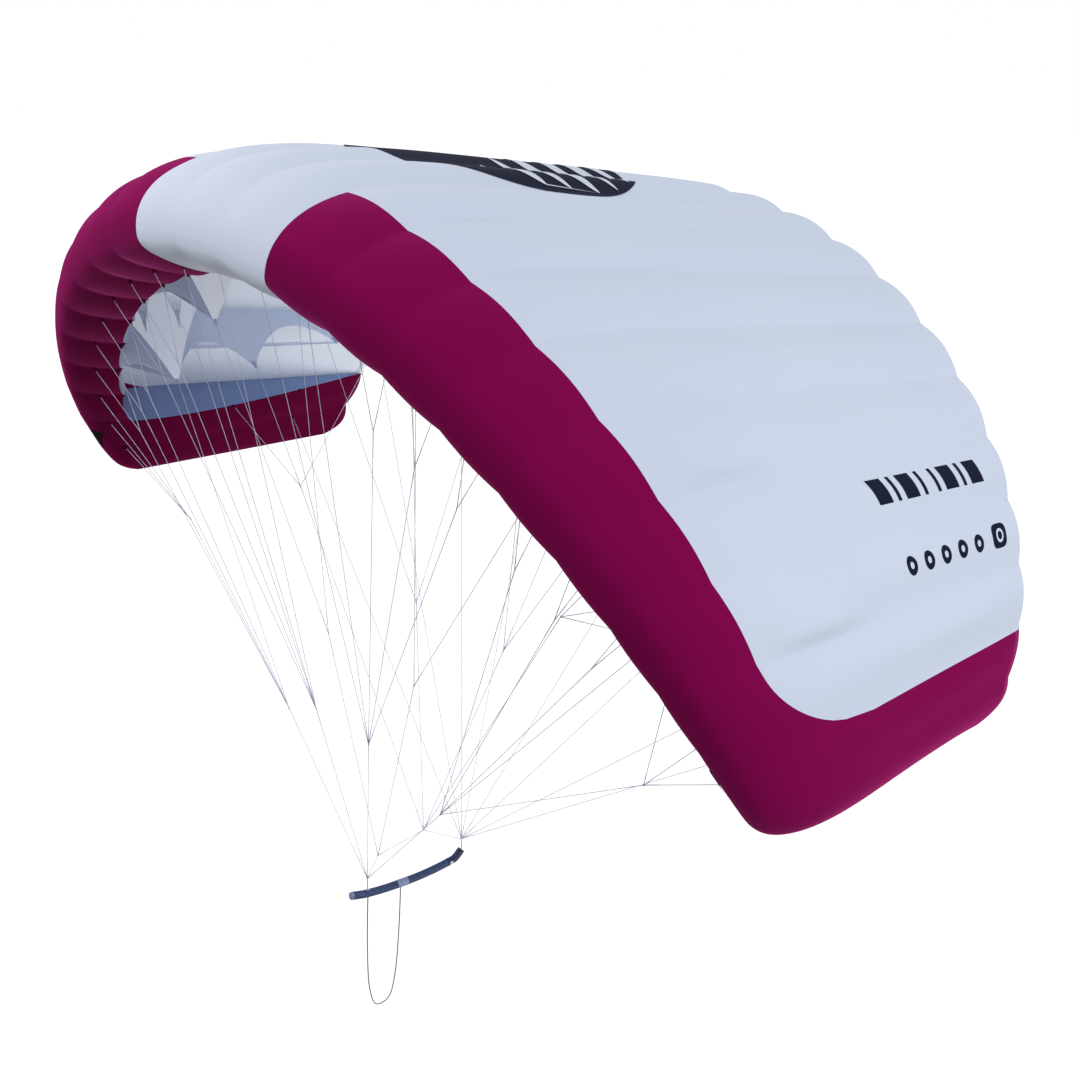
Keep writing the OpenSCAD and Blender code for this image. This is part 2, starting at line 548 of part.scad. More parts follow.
nose_centre();
skin_centre();
for (side = ["left", "right"]) nose_inner(side);
for (side = ["left", "right"]) nose_outer(side);
for (side = ["left", "right"]) skin_inner(side);
for (side = ["left", "right"]) skin_outer(side);
for (side = ["left", "right"]) tip_pocket(side);
for (side = ["left", "right"]) diagonal_webs(side);
for (side = ["left", "right"]) line_tabs(side);
for (side = ["left", "right"]) a_lines(side);
for (side = ["left", "right"]) b_lines(side);
for (side = ["left", "right"]) c_lines(side);
for (side = ["left", "right"]) brake_lines(side);
for (side = ["left", "right"]) for (n = [1 : rib_count])
  rib(n, side);
spine_line();
front_leader();
rear_leader();
bar_tube();
grip_front();
grip_rear();
tip_sleeve();
hub_sleeve();
plug_front();
plug_rear();
front_ferrule();
side_eyelet();
harness_loop();
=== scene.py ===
import math
import bpy
import numpy as np
from mathutils import Matrix, Vector
from mathutils.geometry import delaunay_2d_cdt


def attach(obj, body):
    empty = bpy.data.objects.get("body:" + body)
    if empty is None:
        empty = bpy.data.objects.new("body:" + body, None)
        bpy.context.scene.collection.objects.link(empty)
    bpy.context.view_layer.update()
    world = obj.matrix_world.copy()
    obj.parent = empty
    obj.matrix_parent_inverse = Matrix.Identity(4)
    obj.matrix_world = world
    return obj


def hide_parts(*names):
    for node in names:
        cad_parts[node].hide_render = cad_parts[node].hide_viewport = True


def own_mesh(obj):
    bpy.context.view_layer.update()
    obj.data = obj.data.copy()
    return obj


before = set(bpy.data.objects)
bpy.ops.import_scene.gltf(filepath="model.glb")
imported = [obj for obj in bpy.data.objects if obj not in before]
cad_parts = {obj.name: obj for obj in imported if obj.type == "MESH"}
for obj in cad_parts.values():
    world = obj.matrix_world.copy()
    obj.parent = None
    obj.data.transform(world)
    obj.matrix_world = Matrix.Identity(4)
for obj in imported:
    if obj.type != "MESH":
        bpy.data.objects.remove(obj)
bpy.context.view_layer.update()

# ---- Upper skin ----
# The top of a single-skin kite: one strip of coated ripstop nylon for each cell, sewn edge to edge
# over the ribs and turned over in a hem at the trailing edge. Air holds each strip in a barrel.
# Widths along the span are counted in cells from the middle, so rib n stands at n - 0.5 cells.
TIP = 11.5           # the tip seam, in cells
CELL = 0.188         # width of the middle cell, in metres
CHORD = 1.502        # the middle chord, in metres
FORE, TOP = -0.502, 1.751   # where the middle rib's nose is
BILLOW = 0.028       # how far a full middle cell would bow out, in metres
BAND = 0.12          # share of the chord that the coloured nose covers above
HEM = 0.137          # share of the chord that the nose pocket covers below
PLUM_FROM = 1.5      # where the plum nose begins, in cells
POCKET_FROM = 9.62   # where the tip pocket's cloth begins above, in cells
CLOTH_CHORD = 1.5    # length that the cloth coordinates give a chord, in metres
SKIN_THICK = 0.0008  # drawn thicker than real cloth, so that both sides shade cleanly


def chord_at(u):
    """The chord at u cells: it shrinks with the square of the way out to the tip."""
    q = np.asarray(u, float) / TIP
    return CHORD * (1 - 0.564 * q**2 + 0.052 * q**4)


def width_share(u):
    """How wide a cell is at u cells, as a share of the middle one."""
    return 1 - 0.542 * (np.asarray(u, float) / TIP) ** 2


def arch_turn(u):
    """How far the wing has turned down at u cells, in radians."""
    q = np.asarray(u, float) / TIP
    return np.radians(75.1 * q - 10.7 * q**3 + 37 * q**5)


def arch(u):
    """Where the arch has got to at u cells: the cell widths summed along its turning heading."""
    some, back = np.unique(np.asarray(u, float), return_inverse=True)
    m = some[:, None] * (np.arange(46) + 0.5) / 46
    step = CELL * width_share(m) * some[:, None] / 46
    x, z = (step * np.cos(arch_turn(m))).sum(1), -(step * np.sin(arch_turn(m))).sum(1)
    return x[back].reshape(np.shape(u)), z[back].reshape(np.shape(u))


def upper(x):
    """Height of the upper curve over the chord line: a root at the nose times a cubic."""
    x = np.maximum(x, 0)
    return np.sqrt(x) * (1 - x) * (0.392 * (1 - x) ** 2 + 0.25 * x * (1 - x) + 0.164 * x**2)


def lower(x):
    """The same for the lower curve, with a straight line for the cubic."""
    x = np.maximum(x, 0)
    return -np.sqrt(x) * (1 - x) * (0.203 * (1 - x) + 0.155 * x)


def section(u, s, full=1.0, trim=(0.0, 0.0)):
    """Chordwise and height place on the aerofoil. s runs from 1 at the upper trailing edge over 0
    at the nose to -1 at the lower trailing edge, and its square is the share of the chord. full
    is the share of its thickness, and trim what is cut off at the nose and at the tail. Each side
    stands 2 mm proud of its curve."""
    c, x = chord_at(u), s * s
    z = full * np.where(s > 0, upper(x), lower(x)) * c
    edge = 0.002 * np.sin(np.pi / 2 * np.clip(s / 0.06, -1, 1))
    return c * (x + trim[0] * (1 - x) - trim[1] * x), z + edge


def place(u, y, z, side=0.0):
    """Carries a point of the rib plane at u to its place on the wing, off the plane by side. The
    plane is pitched, rolled with the arch and swept aft, each more the further out it is."""
    a, q = arch_turn(u), np.asarray(u, float) / TIP
    f = np.radians(1.95 * q**2)
    ox, oz = arch(u)
    along, high = y * np.cos(f) + z * np.sin(f), -y * np.sin(f) + z * np.cos(f)
    sweep = 0.367 * q**2 + 0.031 * q**4
    return np.stack(np.broadcast_arrays(
        ox + high * np.sin(a) + side * np.cos(a),
        FORE + sweep + along,
        TOP + oz + high * np.cos(a) - side * np.sin(a)), -1)


def rib_edge(u, s, full=1.0, trim=(0.0, 0.0)):
    """Points on the aerofoil of the rib at u, and the directions square to it. A rib left of the
    middle mirrors the one on the right."""
    sign, v = np.where(u < 0, -1.0, 1.0), np.abs(u)
    (y0, z0), (y1, z1), (y2, z2) = (section(v, s + k, full, trim) for k in (0, -0.01, 0.01))
    ny, nz = z1 - z2, y2 - y1
    ln = np.hypot(ny, nz)
    p = place(v, y0, z0)
    n = place(v, y0 + ny / ln, z0 + nz / ln) - p
    flip = np.stack([sign, np.ones_like(sign), np.ones_like(sign)], -1)
    return p * flip, n * flip


# Gathers beside a rib: the rib, the chord shares where they start and end, and their height.
GATHERS = ((2.5, 0.16, 0.34, 0.006), (3.5, 0.14, 0.42, 0.018), (5.5, 0.15, 0.46, 0.023),
           (6.5, 0.13, 0.44, 0.021), (8.5, 0.15, 0.50, 0.018), (1.5, 0.20, 0.40, 0.003))


def skin(u, s, lift):
    """The cloth at u cells and station s: a straight blend of the edges of two ribs, pushed out by
    a parabola that turns to a softer bell in mid chord. The hem bulges aft between the ribs. Each
    gather adds a fold that rises short of its rib and falls to it. The tip's edges meet."""
    u, s = np.broadcast_arrays(np.asarray(u, float), np.asarray(s, float))
    n = np.clip(np.floor(u + 0.5), -10, 10)
    t = u - (n - 0.5)
    (pa, na), (pb, nb) = rib_edge(n - 0.5, s), rib_edge(n + 0.5, s)
    in_tip = np.abs(n) == 10
    whole = 4 * t * (1 - t) * width_share(n)
    bow = whole * np.where(in_tip, 0.4 * (1 - s**8), 1)
    soft = np.sin(np.pi * t) ** 2 * width_share(n)
    middle = np.sin(np.pi * np.abs(s) ** 3.2)
    rise = BILLOW * (0.48 * (bow + (soft - bow) * 0.6 * middle) + 0.25 * soft * middle) * (
        1 - 0.9 * np.exp(-(s / 0.2) ** 2))
    for rib, x0, x1, high in GATHERS:
        along = np.clip((np.where(s > 0, s * s, 0) - x0) / (x1 - x0), 0, 1)
        gap = np.maximum(0, rib - np.abs(u)) / 0.15
        rise = rise + high * np.sin(np.pi * along**0.7) ** 2 * gap * np.exp(1 - gap)
    p = pa * (1 - t)[..., None] + pb * t[..., None] + (rise + lift)[..., None] * (na + nb) / 2
    p[..., 1] += whole * np.where(in_tip, 0.022, 0.007) * np.maximum(0, (s * s - 0.75) / 0.25)
    return p


def linear(hex_colour):
    """An sRGB hex colour as linear red, green, blue and alpha."""
    v = [int(hex_colour[i : i + 2], 16) / 255 for i in (1, 3, 5)]
    return [x / 12.92 if x <= 0.04045 else ((x + 0.055) / 1.055) ** 2.4 for x in v] + [1.0]


def fill(tree, node, **settings):
    """Fills in a shader node. A setting is one of its properties, or an input by name or by
    number, and is a value, the socket that feeds it, or a node whose first output does."""
    for key, value in settings.items():
        if hasattr(node, key):
            setattr(node, key, value)
            continue
        socket = node.inputs[int(key[1:]) if key[1:].isdigit() else key.replace("_", " ")]
        if isinstance(value, bpy.types.Node):
            value = value.outputs[0]
        if isinstance(value, bpy.types.NodeSocket):
            tree.links.new(value, socket)
        else:
            socket.default_value = value
    return node


def add(tree, kind, **settings):
    """Adds a shader node with its settings."""
    return fill(tree, tree.nodes.new("ShaderNode" + kind), **settings)


def new_material(name):
    """A material with its node tree and its shader."""
    mat = bpy.data.materials.new(name)
    mat.use_nodes = True
    return mat, mat.node_tree, mat.node_tree.nodes["Principled BSDF"]


def ripstop(name, colour, deep, seam, sewn=0.0, roughness=0.6, gloss=0.1, sheen=None,
            below=None):
    """Ripstop nylon, woven with a thicker thread every 5 mm and coated on one side, which leaves
    it smooth with a soft gleam. colour and deep are its two tints, seam that of its thread, sheen
    that of its nap, below a darker tint under the nose line that is painted shade, and sewn how
    strongly the stitched line at each rib shows."""
    mat, tree, shader = new_material(name)
    uv = add(tree, "UVMap", uv_map="Cloth")
    cut = add(tree, "SeparateXYZ", Vector=uv)
    wave_a = add(tree, "Math", operation="PINGPONG", i0=cut, i1=0.0025)
    wave_b = add(tree, "Math", operation="PINGPONG", i0=cut.outputs[1], i1=0.0025)
    near = add(tree, "Math", operation="MINIMUM", i0=wave_a, i1=wave_b)
    grid = add(tree, "Math", operation="LESS_THAN", i0=near, i1=0.00035)
    coords = add(tree, "TexCoord")
    cloud = add(tree, "TexNoise", Vector=coords.outputs["Object"], Scale=2.3, Detail=4.0)
    tone = add(tree, "MixRGB", Fac=cloud, Color1=linear(deep), Color2=linear(colour))
    if below:
        # Painted shade: below darkens the cloth under the nose line.
        side = add(tree, "MapRange", Value=cut.outputs[1], From_Min=-0.05, From_Max=0.03)
        tone = add(tree, "MixRGB", Fac=side, Color1=linear(below), Color2=tone)
    thread = add(tree, "Math", operation="MULTIPLY", i0=grid, i1=0.1)
    woven = add(tree, "MixRGB", Fac=thread, Color1=tone, Color2=linear(seam))
    crinkle = add(tree, "TexNoise", Vector=coords.outputs["Object"], Scale=38.0, Detail=3.0)
    height = add(tree, "Math", operation="MULTIPLY_ADD", i0=grid, i1=0.25, i2=crinkle)
    if sewn:
        from_rib = add(tree, "Math", operation="ADD", i0=cut, i1=CELL / 2)
        cell = add(tree, "Math", operation="PINGPONG", i0=from_rib, i1=CELL / 2)
        at_seam = add(tree, "Math", operation="LESS_THAN", i0=cell, i1=0.0012)
        pitch = add(tree, "Math", operation="PINGPONG", i0=cut.outputs[1], i1=0.0018)
        stitch = add(tree, "Math", operation="LESS_THAN", i0=pitch, i1=0.0011)
        row = add(tree, "Math", operation="MULTIPLY", i0=at_seam, i1=stitch)
        shown = add(tree, "Math", operation="MULTIPLY", i0=row, i1=sewn)
        woven = add(tree, "MixRGB", Fac=shown, Color1=woven, Color2=linear(seam))
        height = add(tree, "Math", operation="MULTIPLY_ADD", i0=row, i1=-0.5, i2=height)
    bump = add(tree, "Bump", Height=height, Strength=0.15, Distance=0.0006)
    fill(tree, shader, Base_Color=woven, Normal=bump, Roughness=roughness,
         Specular_IOR_Level=gloss)
    if sheen:
        fill(tree, shader, Sheen_Weight=0.42, Sheen_Roughness=0.4, Sheen_Tint=linear(sheen))
    return mat


white_ripstop = ripstop("white_ripstop_nylon", "#DDE5EF", "#D7DFEB", "#A9B3C6", 0.12)


def grid_uv(a, b):
    """Cloth coordinates in metres of a grid."""
    return np.stack(np.broadcast_arrays(np.asarray(a, float), np.asarray(b, float)), -1)


def new_object(name, data):
    """An object of the scene."""
    made = bpy.data.objects.new(name, data)
    bpy.context.scene.collection.objects.link(made)
    return made


def put_mesh(name, verts, faces, uvs, material, instead_of, thick, body="wing"):
    """Points, faces and one uv for each corner as an object that rides on its body. Its free edges
    are sharp, cloth gets its thickness on the inner side, and the CAD nodes it stands for are
    hidden."""
    mesh = bpy.data.meshes.new(name)
    mesh.from_pydata(verts.tolist(), [], faces.tolist())
    layer = mesh.uv_layers.new(name="Cloth")
    layer.data.foreach_set("uv", np.asarray(uvs, np.float32).ravel())
    mesh.polygons.foreach_set("use_smooth", np.ones(len(mesh.polygons), bool))
    sides = np.empty(len(mesh.loops), np.int32)
    mesh.loops.foreach_get("edge_index", sides)
    mesh.edges.foreach_set("use_edge_sharp", np.bincount(sides, minlength=len(mesh.edges)) == 1)
    mesh.materials.append(material)
    mesh.update()
    piece = new_object(name, mesh)
    if thick:
        wall = piece.modifiers.new("cloth_thickness", "SOLIDIFY")
        wall.thickness, wall.offset, wall.use_rim = thick, -1.0, True
    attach(piece, body)
    if instead_of:
        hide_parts(*instead_of)
    return piece


def make_piece(name, grids, material, body="wing", instead_of=(), thick=0.0):
    """A mesh from grids of points, each (points, uv, flip), joined where their points meet."""
    verts, faces, uvs, first = [], [], [], 0
    for points, uv, flip in grids:
        rows, cols = points.shape[:2]
        k = np.arange(rows * cols).reshape(rows, cols)
        q = np.stack([k[:-1, :-1], k[:-1, 1:], k[1:, 1:], k[1:, :-1]], -1).reshape(-1, 4)
        q = q[:, ::-1] if flip else q
        verts.append(points.reshape(-1, 3))
        faces.append(q + first)
        uvs.append(uv.reshape(-1, 2)[q].reshape(-1, 2))
        first += rows * cols
    verts = np.concatenate(verts)
    _, kept, joined = np.unique(verts.round(6), axis=0, return_index=True, return_inverse=True)
    return put_mesh(name, verts[kept], joined.reshape(-1)[np.concatenate(faces)],
                    np.concatenate(uvs), material, instead_of, thick, body)


def steps(path):
    """The length of each step along a path, or along each row of a grid."""
    return np.linalg.norm(np.diff(path, axis=-2), axis=-1)


def declare_cloth(grids):
    """Measures how long the longest column of a panel of grids is, for a stretched sheet cut as
    long as that; the length is not kept or used."""
    long = max(steps(p.swapaxes(0, 1)).sum(1).max() for p, _, _ in grids)


def colour_line(u):
    """Station where the plum nose ends above: a straight band that turns aft in a round corner
    just before the tip pocket."""
    over = np.clip((np.abs(u) - 8.6) / 1.02, 0, 1)
    return np.sqrt(BAND + 0.25 * (1 - np.sqrt(1 - over**2.4)))


def panel(u0, u1, s0, s1, across=16, along=64, lift=0.0):
    """One grid of the skin from u0 to u1 cells and from station s0 to s1, which may vary with u."""
    u = np.linspace(u0, u1, math.ceil((u1 - u0) * across) + 1)
    k = np.linspace(0, 1, along + 1)[:, None]
    a = s0(u) if callable(s0) else s0
    b = s1(u) if callable(s1) else s1
    s = a + (b - a) * k + 0 * u
    u = u + 0 * k
    return skin(u, s, lift), grid_uv(u * CELL, np.sign(s) * s * s * CLOTH_CHORD), False


SIDES = ("left", "right")
NOSE_ROWS = math.sqrt(BAND)


def under(u):
    """Station of the nose pocket's hem: it is cut back a little between the ribs."""
    t = np.asarray(u, float) + 0.5 - np.floor(np.asarray(u, float) + 0.5)
    return -np.sqrt(HEM - 0.015 * np.sqrt(np.maximum(0, 4 * t * (1 - t))))


top = [panel(-POCKET_FROM, -PLUM_FROM, 1.0, colour_line),
       panel(-PLUM_FROM, PLUM_FROM, 1.0, NOSE_ROWS),
       panel(PLUM_FROM, POCKET_FROM, 1.0, colour_line),
       panel(-PLUM_FROM, PLUM_FROM, NOSE_ROWS, under, along=44)]
piece = make_piece("skin_white", top, white_ripstop, thick=SKIN_THICK, instead_of=[
    "skin_centre", "nose_centre",
    *(f"skin_{part}_{side}" for part in ("inner", "outer") for side in SIDES)])
declare_cloth(top)

# The hem: a tape of the same cloth, folded over the trailing edge and sewn through.
hem_cloth = ripstop("white_hem_tape", "#D8DFEA", "#D1D9E6", "#9AA4B8")
hem = [panel(-9.6, 9.6, 1.0, 0.9935, along=3, lift=0.0006),
       panel(-9.6, 9.6, 0.9935, 1.0, along=3, lift=-0.0014)]
make_piece("hem_tape", hem, hem_cloth)

# ---- Nose pocket ----
# The leading edge is doubled cloth: the plum nylon wraps round the nose of every rib and ends in a
# hem a short way back below, so that it fills with air. Its middle three cells are white, and run
# on from the top in one piece.
# The plum cloth's below tint is painted shade, a darker wine under the nose line.
plum_ripstop = ripstop("plum_ripstop_nylon_painted_shade_below", "#8D0B52", "#810A48", "#5A0534", gloss=0.0,
                       sheen="#F060B4", below="#52052A")
UNDER = -math.sqrt(HEM)


def mirrored(grids):
    """The same grids on the other side of the wing, their faces turned to look out again."""
    return [(p * np.array([-1.0, 1, 1]), uv, not flip) for p, uv, flip in grids]


def both_sides(*groups):
    """Each side's name with its groups of grids: as given on the left, mirrored on the right."""
    return ("left", *groups), ("right", *(mirrored(grids) for grids in groups))


nose = [panel(PLUM_FROM, 9.5, colour_line, under, along=44),
        panel(9.5, POCKET_FROM, colour_line, UNDER, along=44)]
nose_hem = [panel(PLUM_FROM, 9.5, lambda u: under(u) + 0.012, under, along=2, lift=0.0007)]
for side, grids, pocket_hem in both_sides(nose, nose_hem):
    piece = make_piece(f"nose_plum_{side}", grids, plum_ripstop, thick=SKIN_THICK,
                       instead_of=[f"nose_inner_{side}", f"nose_outer_{side}"])
    declare_cloth(grids)
    make_piece(f"pocket_hem_{side}", pocket_hem, plum_ripstop)

# ---- Tip pockets ----
# At each tip the outer two cells are closed below as well, by the same plum nylon, and end in a
# flat seam with round corners. A short slit by the nose lets sand and water out; a dark patch
# over it stands partly for its mesh and partly for the shade in the opening, which is painted.
def tip_shell(t, s):
    """The last cell, which closes to a flat seam with round corners."""
    return rib_edge(10.5 + t, s, np.sqrt(np.maximum(0, 1 - t**2.2)),
                    (0.055 * t**7, 0.06 * t**6 - 0.02 * np.sin(np.pi * t)))[0]


around = np.linspace(1, -1, 161)[:, None]
closing = np.sin(np.linspace(0, np.pi / 2, 25))
tip_left = [panel(9.5, POCKET_FROM, UNDER, -1.0, along=60),
            panel(POCKET_FROM, 10.5, 1.0, -1.0, across=18, along=160),
            (tip_shell(closing + 0 * around, around + 0 * closing),
             grid_uv((10.5 + closing) * CELL, np.sign(around) * around**2 * CLOTH_CHORD), False)]
last = np.linspace(1, 0, 60)
upper_rim = np.concatenate([tip_left[1][0][0], tip_left[2][0][0], tip_shell(1 + 0 * last, last)])
lower_rim = np.concatenate([tip_left[1][0][-1], tip_left[2][0][-1], tip_shell(1 + 0 * last, -last)])
rim = np.stack([upper_rim, lower_rim])
rim_uv = grid_uv(np.arange(rim.shape[1])[None] * 0.01, np.array([[0.0], [0.004]]))
tip_left.append((rim, rim_uv, True))
# Near black: the slit's mesh, with the shade of the opening behind it painted in.
drain_mesh_and_shade = ripstop("drain_mesh_and_painted_shade", "#17161C", "#0E0D12", "#2A2A33")
slit = [panel(9.88, 10.5, -0.05, lambda u: -0.05 - 0.13 * (10.56 - u) / 0.68, across=20,
              along=6, lift=0.003)]
for side, grids, drain in both_sides(tip_left, slit):
    piece = make_piece(f"tip_pocket_plum_{side}", grids, plum_ripstop,
                       instead_of=[f"tip_pocket_{side}"], thick=SKIN_THICK)
    declare_cloth(grids)
    make_piece(f"drain_slit_{side}", drain, drain_mesh_and_shade)

# ---- Ribs ----
# Every rib is a sheet of thin pale blue nylon sewn into the skin along its top edge. Ribs 2, 5 and
# 8 are deep, with an arch between each pair of line points; the others are strips; ribs 10 and 11
# close the tip pockets. Each has a round port by the nose that lets the air through.
DEEP, CLOSED, RIBS = (2, 5, 8), (10, 11), range(1, 12)
ROW_A, ROW_B, ROW_C, ROW_D = 0.068, 0.257, 0.48, 0.74   # rows of line points, in chords
DEPTH = {ROW_B: 0.121, ROW_C: 0.11, ROW_D: 0.07}   # of a deep rib's points, in chords
STRIP = 0.016        # depth of a light rib
RIB_THICK = 0.0005
rib_cloth = ripstop("rib_blue_ripstop_nylon", "#DEE8FA", "#D4E0F5", "#8895B8")
tip_rib_cloth = ripstop("slate_ripstop_nylon", "#8497C0", "#7B8EB6", "#5A698E")


def rib_chord(n):
    """The chord of rib n."""
    return float(chord_at(n - 0.5))


def inside(points, loops):
    """Which points lie in the first loop, an outline, and in none of the others, its holes: a
    level line from each point crosses their edges an odd number of times."""
    a, b = np.concatenate(loops), np.concatenate([np.roll(loop, -1, 0) for loop in loops])
    y = points[:, None, 1]
    over = (a[:, 1] > y) != (b[:, 1] > y)
    rise = np.where(b[:, 1] == a[:, 1], 1, b[:, 1] - a[:, 1])
    at = a[:, 0] + (y - a[:, 1]) / rise * (b[:, 0] - a[:, 0])
    return (over & (points[:, None, 0] < at)).sum(1) % 2 == 1


def cut_cloth(outline, holes, spacing):
    """Fills a flat outline with even triangles and leaves out its holes. A longer edge is divided
    into steps of one to two spacings."""
    points, edges, loops = [], [], [outline, *holes]
    for loop in loops:
        fine = []
        for a, b in zip(loop, np.roll(loop, -1, 0)):
            n = max(1, int(math.hypot(*(b - a)) / spacing))
            fine += [a + (b - a) * i / n for i in range(n)]
        first = len(points)
        points += fine
        edges += [(first + i, first + (i + 1) % len(fine)) for i in range(len(fine))]
    rim = np.array(points)
    lo, hi = rim.min(0), rim.max(0)
    gx, gy = np.meshgrid(np.arange(lo[0], hi[0], spacing), np.arange(lo[1], hi[1], spacing))
    gx = gx + spacing / 2 * (np.arange(len(gx)) % 2)[:, None]
    inner = np.stack([gx, gy], -1).reshape(-1, 2)
    far = np.sqrt(((inner[:, None] - rim[None]) ** 2).sum(-1)).min(1) > spacing * 0.55
    every = np.concatenate([rim, inner[far & inside(inner, loops)]])
    verts, _, faces, *_ = delaunay_2d_cdt([Vector(p) for p in every], edges, [], 1, 1e-7)
    verts, faces = np.array([tuple(v) for v in verts]), np.array([tuple(f) for f in faces])
    return verts, faces[inside(verts[faces].mean(1), loops)]


def flat_area(flat, tris):
    """The area of flat triangles: half of each cross product, summed."""
    d1, d2 = flat[tris[:, 1]] - flat[tris[:, 0]], flat[tris[:, 2]] - flat[tris[:, 0]]
    return float(np.abs(d1[:, 0] * d2[:, 1] - d1[:, 1] * d2[:, 0]).sum() / 2)


def arches(c):
    """Lower edge of a deep rib: flat points 14 mm wide at the line rows, with arches between."""
    stops = [(HEM, lower(HEM), 0.03), (ROW_B, -DEPTH[ROW_B], 0.095),
             (ROW_C, -DEPTH[ROW_C], 0.085), (ROW_D, -DEPTH[ROW_D], 0.035), (0.97, 0.0, 0)]
    edge, half = [], 0.007 / c
    for k, (a, b) in enumerate(zip(stops, stops[1:])):
        t = np.linspace(0, 1, 25)
        x0, x1 = a[0] + half * (k > 0), b[0] - half * (k < 3)
        edge.append(np.stack([x0 + (x1 - x0) * t,
                              a[1] + (b[1] - a[1]) * t + a[2] * np.sin(np.pi * t) ** 0.8], -1))
    return np.concatenate(edge)


def strip_edge(c):
    """Lower edge of a light rib: from the pocket's hem it sweeps up to a strip that narrows."""
    x = np.linspace(0.15, 0.97, 60)
    free = upper(x) - STRIP / c * (1 - x) ** 0.6
    start = np.exp(-((x - 0.15) / 0.022))
    return np.stack([x, free + (lower(HEM) - upper(0.15) + STRIP / c * 0.9) * start * 0.8], -1)


def rib_outline(n):
    """The cut of rib n in its own plane, just inside the skin."""
    u, c = n - 0.5, rib_chord(n)
    s = np.linspace(0.996, -1.0 if n in CLOSED else UNDER, 90)
    (y, z), (y0, z0), (y1, z1) = (section(u, s + k) for k in (0, -0.01, 0.01))
    ln = np.hypot(y1 - y0, z1 - z0)
    skin_side = np.stack([y - (z0 - z1) / ln * 0.0015, z - (y1 - y0) / ln * 0.0015], -1)
    if n in CLOSED:
        return skin_side[:-2]
    return np.concatenate([skin_side, (arches(c) if n in DEEP else strip_edge(c)) * c])


def port(n):
    """The round port of rib n, 44 mm wide."""
    a = np.linspace(0, 2 * np.pi, 25)[:-1]
    return (np.array([ROW_A, 0.018]) * rib_chord(n)
            + 0.022 * np.stack([np.cos(a), np.sin(a)], -1))


for n in RIBS:
    u, c = n - 0.5, rib_chord(n)
    flat, faces = cut_cloth(rib_outline(n), [port(n)], 0.016)
    skin_z = section(u, np.sqrt(np.clip(flat[:, 0] / c, 0, 1)))[1]
    below = np.clip((skin_z - flat[:, 1]) / 0.15, 0, 1)
    wave = 0.004 * below * np.sin(flat[:, 0] * 21 + n) * (n in DEEP)
    points = place(u, flat[:, 0], flat[:, 1], wave)
    area, (wide, high) = flat_area(flat, faces), np.ptp(flat, axis=0).tolist()
    for side, sign in zip(SIDES, (1, -1)):
        tris = faces[:, ::sign]
        uv = flat[tris].reshape(-1, 2) + [0.047, 0]
        rib = put_mesh(f"rib_{n}_cloth_{side}", points * [sign, 1, 1], tris, uv,
                       tip_rib_cloth if n in CLOSED else rib_cloth,
                       [f"rib_{n}_{side}"], RIB_THICK)

# ---- Diagonal webs ----
# From the second line point of each deep rib a forked web of white nylon runs up to the skin on
# both sides, where it is sewn beside the next light rib. Two long slots make it lighter.
def web_outline(low, high):
    """The cut of a web: its sides bow inwards, and its top edge follows the skin. low and high
    are its two lower and two upper corners, (along the chord, up the web)."""
    t = np.linspace(0, 1, 13)[:, None]
    right = low[1] + (high[1] - low[1]) * t
    left = high[0] + (low[0] - high[0]) * t
    bow = 0.014 * np.sin(np.pi * t)
    right, left = right - [1, 0] * bow, left + [1, 0] * bow
    across = high[1] + (high[0] - high[1]) * t + [0, 1] * (0.006 * np.sin(np.pi * t))
    return np.concatenate([low, right[1:], across[1:], left[1:-1]])


web_cloth = ripstop("white_web_cloth", "#E9EFF9", "#E2E9F6", "#AAB6CE")
for side, sign in zip(SIDES, (1, -1)):
    verts, faces, uvs, first, area, wide, tall = [], [], [], 0, 0.0, 0.0, 0.0
    for n in DEEP:
        for step in (-1, 1):
            u, v = n - 0.5, n - 0.5 + step
            c, cv = rib_chord(n), rib_chord(n + step)
            gap = step * 0.0017
            low = [place(u, ROW_B * c + k * 0.007, -DEPTH[ROW_B] * c + 0.004, gap) for k in (-1, 1)]
            top_z = min(upper(0.12), upper(0.4)) * cv - 0.006
            high = [place(v, x * cv, top_z, -gap) for x in (0.12, 0.4)]
            base, peak = (low[0] + low[1]) / 2, (high[0] + high[1]) / 2
            up = np.array([peak[0] - base[0], 0, peak[2] - base[2]])
            h = float(np.linalg.norm(up))
            up = up / h
            # Laid flat, a web is h high, its top is lean further aft, and half its width is half.
            lean, half = float(peak[1] - base[1]), float(abs(high[1][1] - high[0][1]) / 2)
            outline = web_outline(np.array([[-0.007, 0], [0.007, 0]]),
                                  np.array([[lean - half, h], [lean + half, h]]))
            slots = []
            for k in (-1, 1):
                x, y = lean + k * half * 0.3, h * 0.84
                w, deep = half * 0.28, h * 0.34
                slots.append(np.array([[x - w / 2, y], [x, y + 0.004], [x + w / 2, y],
                                       [x + w * 0.16, y - deep * 0.55], [x, y - deep],
                                       [x - w * 0.16, y - deep * 0.55]]))
            flat, tris = cut_cloth(outline, slots, 0.012)
            points = base + flat[:, :1] * [0, 1, 0] + flat[:, 1:] * up
            points = points + np.cross([0, 1, 0], up) * (
                0.003 * np.sin(np.pi * np.clip(flat[:, 1:] / h, 0, 1)) ** 2)
            area += flat_area(flat, tris)
            wide, tall = wide + 2 * half, max(tall, h)
            verts.append(points * [sign, 1, 1])
            tris = tris[:, ::sign]
            uvs.append((flat + [0.047, 0])[tris].reshape(-1, 2))
            faces.append(tris + first)
            first += len(points)
    webs = put_mesh(f"webs_{side}", np.concatenate(verts), np.concatenate(faces),
                    np.concatenate(uvs), web_cloth, [f"diagonal_webs_{side}"], RIB_THICK)

# ---- Line tabs ----
# Each line is tied to a short loop of polyester webbing, 8 mm wide, folded over the rib's edge
# and sewn down with a bar tack: plum on the nose and the tips, pale grey on the deep ribs.
FORK = 0.125   # row of the second point of a line that forks
